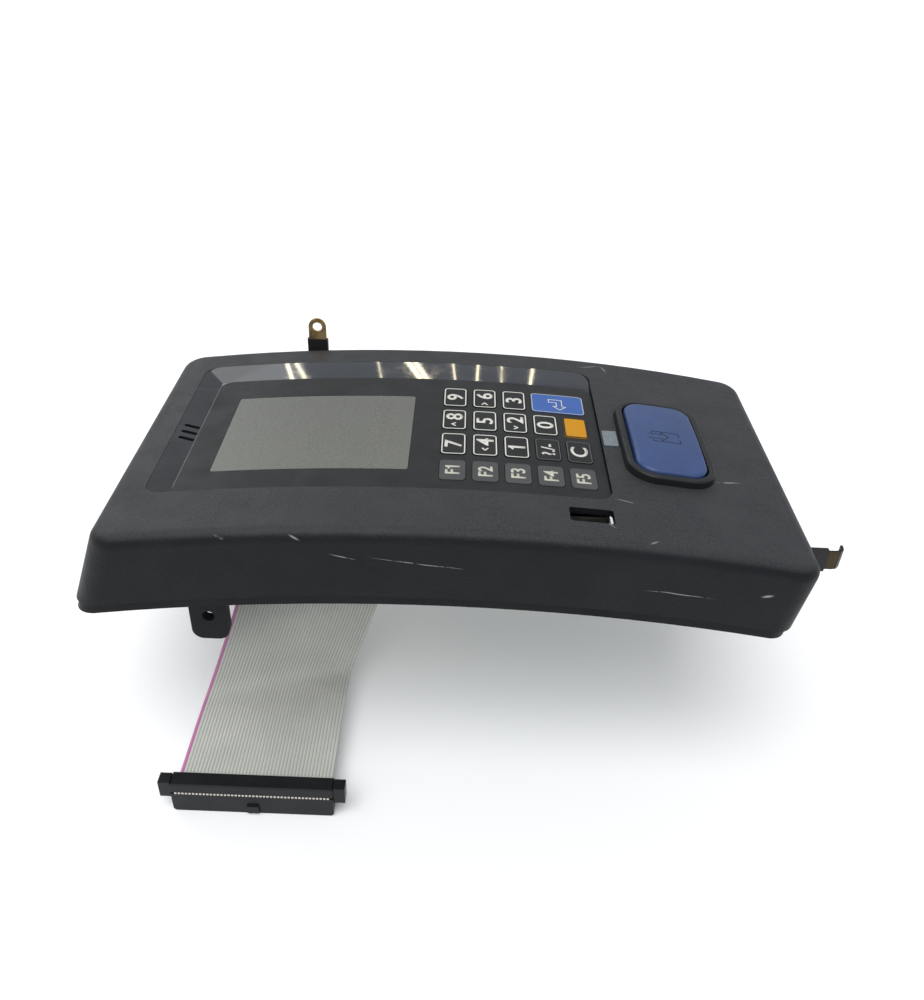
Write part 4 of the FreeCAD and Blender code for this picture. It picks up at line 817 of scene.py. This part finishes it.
for key, material, width in (("key_enter", pale_print, 0.4 * MM), ("key_menu", film, 0.6 * MM)):
    centre, size_x, size_y = key_pad(key)
    border_bm = bmesh.new()
    outline_ring(border_bm, centre.x, centre.y, size_x - BORDER_MARGIN, size_y - BORDER_MARGIN,
                 BORDER_CORNER, width)
    for k in range(1, BORDER_PARTS):
        cut = centre.x + size_x * (k / BORDER_PARTS - 0.5)
        everything = border_bm.verts[:] + border_bm.edges[:] + border_bm.faces[:]
        bmesh.ops.bisect_plane(border_bm, geom=everything, plane_co=(cut, 0, 0),
                               plane_no=(1, 0, 0))
    print_piece(key + "_border", border_bm, material, key)
print("return and orange keys printed")

# %% [markdown]
# ## The blue button and its ring
#
# The cap is a satin blue moulding in a black ring. Its sign is moulded in as thin grooves, which
# look dark because they lie in shade. Here it is a plain sheet with an arrow, drawn as narrow
# strips of painted shade that lie just above the crowned cap and ride with it, which reads as
# shaded grooves without cutting the cap.

# %% Button materials
button_blue = finish("button_blue", rgb(0.033, 0.062, 0.165), 0.42, 2600.0, 0.05, 0.10, 0.008,
                     specular=0.35)
dress(button_blue, "feed_button")
ring_plastic = finish("ring_plastic", rgb(0.011, 0.012, 0.013), 0.42, 2200.0, 0.12, 0.12, 0.02)
dress(ring_plastic, "feed_collar")

print("button and ring dressed")

# %% Button sign
cap_low, cap_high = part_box("feed_button")
CAP_CROWN_RADIUS = 0.260
button_x = (cap_low.x + cap_high.x) / 2
button_y = (cap_low.y + cap_high.y) / 2
slope = math.asin((button_x - CREST.x) / FACE_RADIUS)
CAP_TOP = 4.9 * MM  # how far the cap's middle stands over the bent face
SIGN_LINE = 0.38 * MM
SIGN_SHIFT = 2.0 * MM
SIGN_SUNK = 0.02 * MM
# start and end of each groove in millimetres, along the panel and then across it
SIGN_STROKES = (
    ((-5.2, -3.4), (5.2, -3.4)), ((-5.2, 3.4), (5.2, 3.4)), ((5.2, -3.4), (5.2, -1.2)),
    ((5.2, 1.2), (5.2, 3.4)), ((-6.8, -1.5), (-1.6, -1.5)), ((-6.8, 1.5), (-1.6, 1.5)),
    ((-1.6, -2.8), (0.9, 0.0)), ((-1.6, 2.8), (0.9, 0.0)), ((-1.6, -2.8), (-1.6, -1.5)),
    ((-1.6, 1.5), (-1.6, 2.8)), ((-5.2, -3.4), (-5.2, -2.4)), ((-5.2, 2.4), (-5.2, 3.4)),
)

sign_bm = bmesh.new()
for start, end in SIGN_STROKES:
    stroke(sign_bm, [c * MM for c in start], [c * MM for c in end], SIGN_LINE)
bmesh.ops.translate(sign_bm, vec=(0, -SIGN_SHIFT, 0), verts=sign_bm.verts)
grown = bmesh.ops.extrude_face_region(sign_bm, geom=sign_bm.faces[:])["geom"]
raised = [g for g in grown if isinstance(g, bmesh.types.BMVert)]
bmesh.ops.translate(sign_bm, vec=(0, 0, PRINT_THICK), verts=raised)
bmesh.ops.recalc_face_normals(sign_bm, faces=sign_bm.faces)
for vert in sign_bm.verts:
    crown = math.sqrt(CAP_CROWN_RADIUS ** 2 - vert.co.x ** 2 - vert.co.y ** 2) - CAP_CROWN_RADIUS
    vert.co.z += CAP_TOP + crown - SIGN_SUNK
button_place = Matrix.Translation((button_x, button_y, bent_height(button_x, 0.0)))
on_face = button_place @ Matrix.Rotation(slope, 4, "Y")
bmesh.ops.transform(sign_bm, matrix=on_face, verts=sign_bm.verts)
sign = add_object("button_sign", sign_bm, "feed_button_cap")
# the strips' dark blue is painted shade, standing in for the shade inside the grooves
sign.data.materials.append(finish("groove_painted_shade", rgb(0.010, 0.014, 0.030), 0.6, 1500.0, 0.05))
print("sign strokes", len(SIGN_STROKES))

# %% [markdown]
# ## Light pipe, lamp and USB socket
#
# The light pipe is clear plastic with a frosted top, so that it looks pale blue-grey when it is
# off. The USB socket's shell is steel that sits in its own shade, and that shade is painted into
# its colour as a darker steel. Its tongue is white, and its contacts are gold. The common finish
# makes the metals too: only the metallic value changes.

# %% Small parts on the face
pipe_material, tree, shader, coords = start_material("frosted_pipe")
frost = noise(tree, coords, 900.0, 3.0)
pale = spread(tree, frost, 0.3, 0.7)
drive(tree, shader, "Base Color", mix(tree, pale, rgb(0.15, 0.185, 0.205), rgb(0.22, 0.265, 0.29)))
drive(tree, shader, "Roughness", spread(tree, frost, 0.3, 0.7, 0.35, 0.55))
shader.inputs["Transmission Weight"].default_value = 0.25
shader.inputs["IOR"].default_value = 1.49
dress(pipe_material, "status_light_pipe")
tinned = finish("tinned_steel", rgb(0.62, 0.62, 0.60), 0.30, 1200.0, 0.10, 0.10, 0.01,
                metallic=1.0)
dress(tinned, "screen_tray", "key_domes")
# painted shade: the shell is a darker copy of the tinned steel, for the shade it sits in
shell_steel_painted_shade = finish("shell_steel_painted_shade", rgb(0.16, 0.16, 0.155), 0.38, 1200.0, 0.10, 0.12, 0.01,
                     metallic=1.0)
dress(shell_steel_painted_shade, "usb_shell")
white_plastic = finish("white_plastic", rgb(0.72, 0.72, 0.69), 0.42, 1400.0, 0.05, 0.05, 0.01)
dress(white_plastic, "usb_insulator", "screen_backlight")
gold = finish("contact_gold", rgb(0.80, 0.56, 0.20), 0.25, 1200.0, 0.08, 0.08, 0.01, metallic=1.0)
dress(gold, "usb_contacts")
lamp_plastic = finish("lamp_plastic", rgb(0.55, 0.62, 0.62), 0.30, 1200.0, 0.05, 0.06, 0.01)
dress(lamp_plastic, "status_lamp")
print("small parts dressed")

# %% [markdown]
# ## Frame, lugs, switches and foam
#
# What lies behind the cover is plainer plastic with visible flow marks, so its gloss varies
# more than its colour does. Foam is the roughest and has open pores.

# %% Inner plastics
frame_plastic = finish("frame_plastic", rgb(0.0065, 0.0070, 0.0078), 0.48, 1700.0, 0.14, 0.16,
                       0.03, wear=0.12, specular=0.14)
dress(frame_plastic, "rear_frame", "pivot_lugs", "keypad_backer", "feed_spacer")
switch_black = finish("switch_black", rgb(0.014, 0.014, 0.015), 0.42, 1600.0, 0.08, 0.10, 0.02)
dress(switch_black, "feed_switch", "board_header", "speaker_basket")
foam = finish("foam", rgb(0.022, 0.022, 0.023), 0.9, 1300.0, 0.20, 0.10, 0.12)
dress(foam, "screen_gasket")
display_glass = finish("display_glass", rgb(0.16, 0.165, 0.155), 0.12, 900.0, 0.04, 0.05, 0.002,
                       coat=0.5)
dress(display_glass, "screen_glass")
cone_paper = finish("cone_paper", rgb(0.035, 0.034, 0.032), 0.85, 2400.0, 0.25, 0.12, 0.05)
dress(cone_paper, "speaker_cone")
zinc = finish("zinc_plate", rgb(0.56, 0.57, 0.58), 0.32, 700.0, 0.12, 0.14, 0.01, metallic=1.0,
              wear=0.10)
dress(zinc, "frame_screws", "board_screws", "feed_screws", "earth_screw", "lug_screws",
      "feed_spring")
print("inner plastics dressed")

# %% [markdown]
# ## Brass tabs and their sleeves
#
# The earthing strips are bare brass that has tarnished unevenly: a slow noise drives the colour
# from bright to brown, and a stretched one gives the rolling marks along the strip. The sleeves
# are heat-shrink tube, black with a soft sheen and small wrinkles.


# %% Brass and sleeve
def brass_material(name, bright, brown, tarnish):
    material, tree, shader, coords = start_material(name)
    age = spread(tree, noise(tree, coords, 160.0, 5.0), 0.5 - tarnish, 0.85 - tarnish)
    drive(tree, shader, "Base Color", mix(tree, age, bright, brown))
    fingered = noise(tree, coords, 300.0, 4.0)
    drive(tree, shader, "Roughness", spread(tree, fingered, 0.3, 0.7, 0.25, 0.48))
    rolled = node(tree, "ShaderNodeMapping", {"Vector": coords, "Scale": (3000.0, 3000.0, 90.0)})
    emboss(tree, shader, noise(tree, rolled.outputs[0], 1.0), 0.3, 0.02)
    shader.inputs["Metallic"].default_value = 1.0
    return material


side_brass = brass_material("brass", rgb(0.80, 0.56, 0.26), rgb(0.42, 0.22, 0.07), 0.05)
dress(side_brass, "side_earth_tab")
end_brass = brass_material("brown_brass", rgb(0.060, 0.048, 0.030), rgb(0.018, 0.015, 0.012), 0.10)
dress(end_brass, "end_earth_tab")
sleeve = finish("shrink_sleeve", rgb(0.012, 0.012, 0.013), 0.48, 500.0, 0.08, 0.10, 0.12)
dress(sleeve, "side_earth_sleeve", "end_earth_sleeve")
print("brass and sleeves dressed")

# %% [markdown]
# ## The ribbon's plastic
#
# The cable is pale grey PVC, a little yellowed. The first core is dyed pink so that the plug
# goes on the right way round. The UV map gives the core's number straight away: the part of
# the width below one forty-fourth is that core.

# %% Ribbon material
ribbon_material, tree, shader, coords = start_material("ribbon_pvc")
uv = node(tree, "ShaderNodeUVMap", uv_map="UVMap").outputs[0]
across = node(tree, "ShaderNodeSeparateXYZ", {0: uv}).outputs["X"]
aged = spread(tree, noise(tree, coords, 28.0, 4.0), 0.3, 0.7)
grey = mix(tree, aged, rgb(0.44, 0.445, 0.41), rgb(0.52, 0.525, 0.485))
fold = spread(tree, noise(tree, coords, 70.0, 5.0), 0.55, 0.8, 0.0, 0.35)
worn = mix(tree, fold, grey, rgb(0.56, 0.55, 0.50))
core_phase = math_node(tree, "FRACT", math_node(tree, "MULTIPLY", across, float(CORES)))
from_core = math_node(tree, "ABSOLUTE", math_node(tree, "SUBTRACT", core_phase, 0.5))
# painted shade: the thin webs between the cores lie in grooves, so they are painted darker
web_painted_shade = spread(tree, from_core, 0.30, 0.5, 0.0, 0.75)
web_shaded_grey = mix(tree, web_painted_shade, worn, rgb(0.17, 0.17, 0.155))
first_core = spread(tree, across, 0.021, 0.024, 1.0, 0.0)
dyed = mix(tree, math_node(tree, "MULTIPLY", first_core, 0.85), web_shaded_grey, rgb(0.48, 0.12, 0.33))
drive(tree, shader, "Base Color", dyed)
drive(tree, shader, "Roughness", spread(tree, noise(tree, coords, 200.0), 0.3, 0.7, 0.38, 0.5))
emboss(tree, shader, noise(tree, coords, 1400.0), 0.2, 0.02)
ribbon.data.materials.append(ribbon_material)
print("ribbon dressed")

# %% [markdown]
# ## The cable's socket
#
# The socket grips the cable between a body and a cover. The cable is cut off flush, so a row of
# forty-four round core ends shows as a white line, each with a copper dot. One end is a short
# cylinder, and a loop sets it down along both sockets.

# %% Socket and core ends
socket_black = finish("socket_black", rgb(0.0080, 0.0085, 0.0098), 0.38, 1500.0, 0.06, 0.10,
                      0.015, specular=0.22)
dress(socket_black, "board_socket_body", "board_socket_cover", "cable_socket_body",
      "cable_socket_cover")
core_white = finish("core_insulation", rgb(0.62, 0.62, 0.58), 0.5, 1500.0, 0.05, 0.06, 0.01)
copper = finish("core_copper", rgb(0.75, 0.48, 0.32), 0.35, 1500.0, 0.05, 0.06, 0.01,
                metallic=1.0)
CORE_END_LENGTH = 3.0 * MM
# radius, how far it stands out of the socket, finish and slot
CORE_PARTS = {"ends": (0.98 * CORE_RADIUS, 0.10 * MM, core_white, "ribbon_grey"),
              "wires": (0.17 * MM, 0.16 * MM, copper, "brass")}


def core_ends(name, body_node, cover_node, y_face, outward):
    """The cut ends in the gap between a socket's body and cover."""
    body_low, body_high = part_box(body_node)
    cover_low, cover_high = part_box(cover_node)
    middle_x = (body_low.x + body_high.x) / 2
    upper = cover_low.z > body_low.z
    gap_z = body_high.z + CORE_RADIUS if upper else body_low.z - CORE_RADIUS
    along_y = Matrix.Rotation(math.pi / 2, 4, "X")
    for kind, (radius, proud, material, slot_name) in CORE_PARTS.items():
        bm = bmesh.new()
        y = y_face + outward * (proud - CORE_END_LENGTH / 2)
        for core in range(CORES):
            x = middle_x + (core + 0.5 - CORES / 2) * CORE_PITCH
            rod = bmesh.ops.create_cone(bm, cap_ends=True, segments=10, radius1=radius,
                                        radius2=radius, depth=CORE_END_LENGTH, matrix=along_y)
            bmesh.ops.translate(bm, vec=(x, y, gap_z), verts=rod["verts"])
        piece = add_object(f"{name}_{kind}", bm)
        piece.data.materials.append(material)


cable_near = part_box("cable_socket_cover")[0].y
core_ends("cable_core", "cable_socket_body", "cable_socket_cover", cable_near, -1)
board_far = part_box("board_socket_cover")[1].y
core_ends("board_core", "board_socket_body", "board_socket_cover", board_far, 1)
print("core ends", CORES, "on each socket")

# %% [markdown]
# ## The circuit boards
#
# The board is glass-fibre laminate under green solder mask. Copper tracks show as slightly
# raised, lighter bands: a brick pattern turned into thin lines makes the straight runs, and a
# second one at right angles the crossings.


# %% Board material
def board_material():
    material, tree, shader, coords = start_material("solder_mask")
    tracks = None
    for turned, scale in (((0, 0, 0), 240.0), ((0, 0, math.pi / 2), 330.0)):
        spun = node(tree, "ShaderNodeMapping", {"Vector": coords, "Rotation": turned}).outputs[0]
        values = {"Vector": spun, "Scale": scale, "Mortar Size": 0.07, "Mortar Smooth": 0.1,
                  "Brick Width": 3.1, "Row Height": 0.36}
        lines = node(tree, "ShaderNodeTexBrick", values).outputs["Fac"]
        tracks = lines if tracks is None else math_node(tree, "MAXIMUM", tracks, lines)
    patch = spread(tree, noise(tree, coords, 45.0, 1.0), 0.44, 0.5)
    tracks = math_node(tree, "MULTIPLY", tracks, patch)
    slow = spread(tree, noise(tree, coords, 50.0), 0.3, 0.7)
    mask = mix(tree, slow, rgb(0.006, 0.065, 0.028), rgb(0.009, 0.085, 0.036))
    drive(tree, shader, "Base Color", mix(tree, tracks, mask, rgb(0.018, 0.15, 0.06)))
    drive(tree, shader, "Roughness", spread(tree, noise(tree, coords, 300.0), 0.3, 0.7, 0.22, 0.34))
    emboss(tree, shader, tracks, 0.6, 0.04)
    shader.inputs["Coat Weight"].default_value = 0.3
    return material


dress(board_material(), "control_board", "feed_board")
print("boards dressed")

# %% [markdown]
# ## Components on the board's back
#
# Chips, capacitors and resistors fill the underside, which shows through the frame's opening.
# A chip is a cube, bevelled, with a row of small legs on two sides. An electrolytic capacitor
# is a cylinder with a bevelled rim. Each kind is one piece, made by a loop over its places.

# %% Component helpers
BOARD_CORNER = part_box("control_board")[0]
UNDERSIDE = BOARD_CORNER.z


def slab(bm, x, y, size_x, size_y, height, bevel=0.15 * MM, lift=0.0):
    """A bevelled block that hangs from the board's underside."""
    made = bmesh.ops.create_cube(bm, size=1.0)["verts"]
    bmesh.ops.scale(bm, vec=(size_x, size_y, height), verts=made)
    bmesh.ops.translate(bm, vec=(x, y, UNDERSIDE - lift - height / 2), verts=made)
    if bevel > 0:
        edges = list({e for v in made for e in v.link_edges})
        bmesh.ops.bevel(bm, geom=edges, offset=bevel, segments=1, profile=0.5, affect="EDGES",
                        material=-1)


def can(bm, x, y, radius, height, segments=20):
    """A round part that hangs from the board's underside."""
    made = bmesh.ops.create_cone(bm, cap_ends=True, segments=segments, radius1=radius,
                                 radius2=radius, depth=height)["verts"]
    bmesh.ops.translate(bm, vec=(x, y, UNDERSIDE - height / 2), verts=made)
    rim = [e for e in {e for v in made for e in v.link_edges}
           if all(v.co.z < UNDERSIDE - height * 0.9 for v in e.verts)]
    bmesh.ops.bevel(bm, geom=rim, offset=radius * 0.08, segments=2, profile=0.5, affect="EDGES",
                    material=-1)


def from_corner(x_mm, y_mm):
    """A place on the board from its near corner, given in millimetres."""
    return BOARD_CORNER.x + x_mm * MM, BOARD_CORNER.y + y_mm * MM


print("underside at", round(UNDERSIDE, 4))

# %% Chips and capacitors
# place from the board's near corner, then length, width and height, in millimetres
CHIPS = ((96, 60, 20, 20, 1.6), (96, 90, 14, 18, 1.4), (120, 62, 10, 14, 1.4), (74, 40, 12, 8, 1.6),
         (122, 92, 9, 9, 1.2), (74, 62, 8, 12, 1.4), (128, 38, 8, 6, 1.6), (100, 34, 10, 6, 1.4))
# place, then radius and height
CANS = ((135, 20, 4.0, 9.0), (124, 18, 3.2, 7.5), (136, 104, 4.0, 8.0), (70, 16, 3.2, 7.0),
        (84, 16, 2.6, 6.0))
LEG_PITCH = 1.27 * MM
LEG_SIZE = (0.45 * MM, 1.3 * MM, 0.5 * MM)
CHIP_LIFT = 0.15 * MM
CAN_TOP_SHARE = 0.86
chips, legs = bmesh.new(), bmesh.new()
for x_mm, y_mm, long_mm, wide_mm, high_mm in CHIPS:
    x, y = from_corner(x_mm, y_mm)
    slab(chips, x, y, long_mm * MM, wide_mm * MM, high_mm * MM, lift=CHIP_LIFT)
    count = int(long_mm * MM / LEG_PITCH) - 1
    for leg in range(count):
        leg_x = x + (leg - (count - 1) / 2) * LEG_PITCH
        for side in (-1, 1):
            slab(legs, leg_x, y + side * (wide_mm / 2 + 0.5) * MM, *LEG_SIZE, bevel=0)
cans, can_tops = bmesh.new(), bmesh.new()
for x_mm, y_mm, radius_mm, high_mm in CANS:
    x, y = from_corner(x_mm, y_mm)
    can(cans, x, y, radius_mm * MM, high_mm * MM)
    can(can_tops, x, y, radius_mm * CAN_TOP_SHARE * MM, high_mm * MM + 0.05 * MM)
print("placed", len(CHIPS), "chips and", len(CANS), "capacitors")

# %% [markdown]
# ## Resistors, solder and the finishes of all the components
#
# The small resistors are scattered by two plain step rules, so that every run puts them in the
# same places, and a resistor that would meet a chip or a capacitor is left out. Each has a
# solder pad at both ends. Everything then becomes one piece a kind, each with its own finish.

# %% Resistors, solder and component finishes
RESISTOR_COUNT = 44
RESISTOR_SIZE = (2.0 * MM, 1.2 * MM, 0.55 * MM)
PAD_SIZE = (0.7 * MM, 1.3 * MM, 0.35 * MM)
PAD_FROM_MIDDLE = 1.15 * MM
CHIP_ROOM = 3
CAN_ROOM = 2.5


def is_free(x_mm, y_mm):
    """Whether a resistor at this place stays clear of the chips and the capacitors."""
    at_chip = any(abs(x_mm - x) < long_mm / 2 + CHIP_ROOM
                  and abs(y_mm - y) < wide_mm / 2 + CHIP_ROOM
                  for x, y, long_mm, wide_mm, _ in CHIPS)
    at_can = any(math.hypot(x_mm - x, y_mm - y) < radius_mm + CAN_ROOM
                 for x, y, radius_mm, _ in CANS)
    return not (at_chip or at_can)


resistors, pads = bmesh.new(), bmesh.new()
for k in range(RESISTOR_COUNT):
    x_mm, y_mm = 66 + (k * 17) % 76, 8 + (k * 29) % 108
    if is_free(x_mm, y_mm):
        x, y = from_corner(x_mm, y_mm)
        slab(resistors, x, y, *RESISTOR_SIZE, bevel=0.08 * MM)
        for side in (-1, 1):
            slab(pads, x + side * PAD_FROM_MIDDLE, y, *PAD_SIZE, bevel=0.1 * MM)
chip_epoxy = finish("chip_epoxy", rgb(0.014, 0.014, 0.015), 0.5, 900.0, 0.08)
can_sleeve = finish("can_sleeve", rgb(0.012, 0.016, 0.05), 0.35, 900.0, 0.05)
resistor_body = finish("resistor_body", rgb(0.05, 0.035, 0.025), 0.4, 900.0, 0.2)
solder = finish("solder", rgb(0.60, 0.60, 0.60), 0.22, 700.0, 0.1, metallic=1.0)
COMPONENTS = {
    "board_chips": (chips, chip_epoxy, "switch_black"),
    "board_legs": (legs, tinned, "steel"),
    "board_cans": (cans, can_sleeve, "switch_black"),
    "board_can_tops": (can_tops, zinc, "steel"),
    "board_resistors": (resistors, resistor_body, "switch_black"),
    "board_solder": (pads, solder, "steel"),
}
for name, (bm, material, slot_name) in COMPONENTS.items():
    piece = add_object(name, bm)
    piece.data.materials.append(material)
print("component pieces", len(COMPONENTS))

# %% [markdown]
# ## The floor
#
# A plain, pale, matt floor. It is nearly white and only takes a soft shadow, so that nothing
# competes with the dark panel.

# %% Floor material
floor_material, tree, shader, coords = start_material("pale_floor")
pale = mix(tree, noise(tree, coords, 2.0), rgb(0.93, 0.93, 0.94), rgb(0.96, 0.96, 0.96))
drive(tree, shader, "Base Color", pale)
shader.inputs["Roughness"].default_value = 0.7
floor.data.materials.append(floor_material)
print("floor dressed")
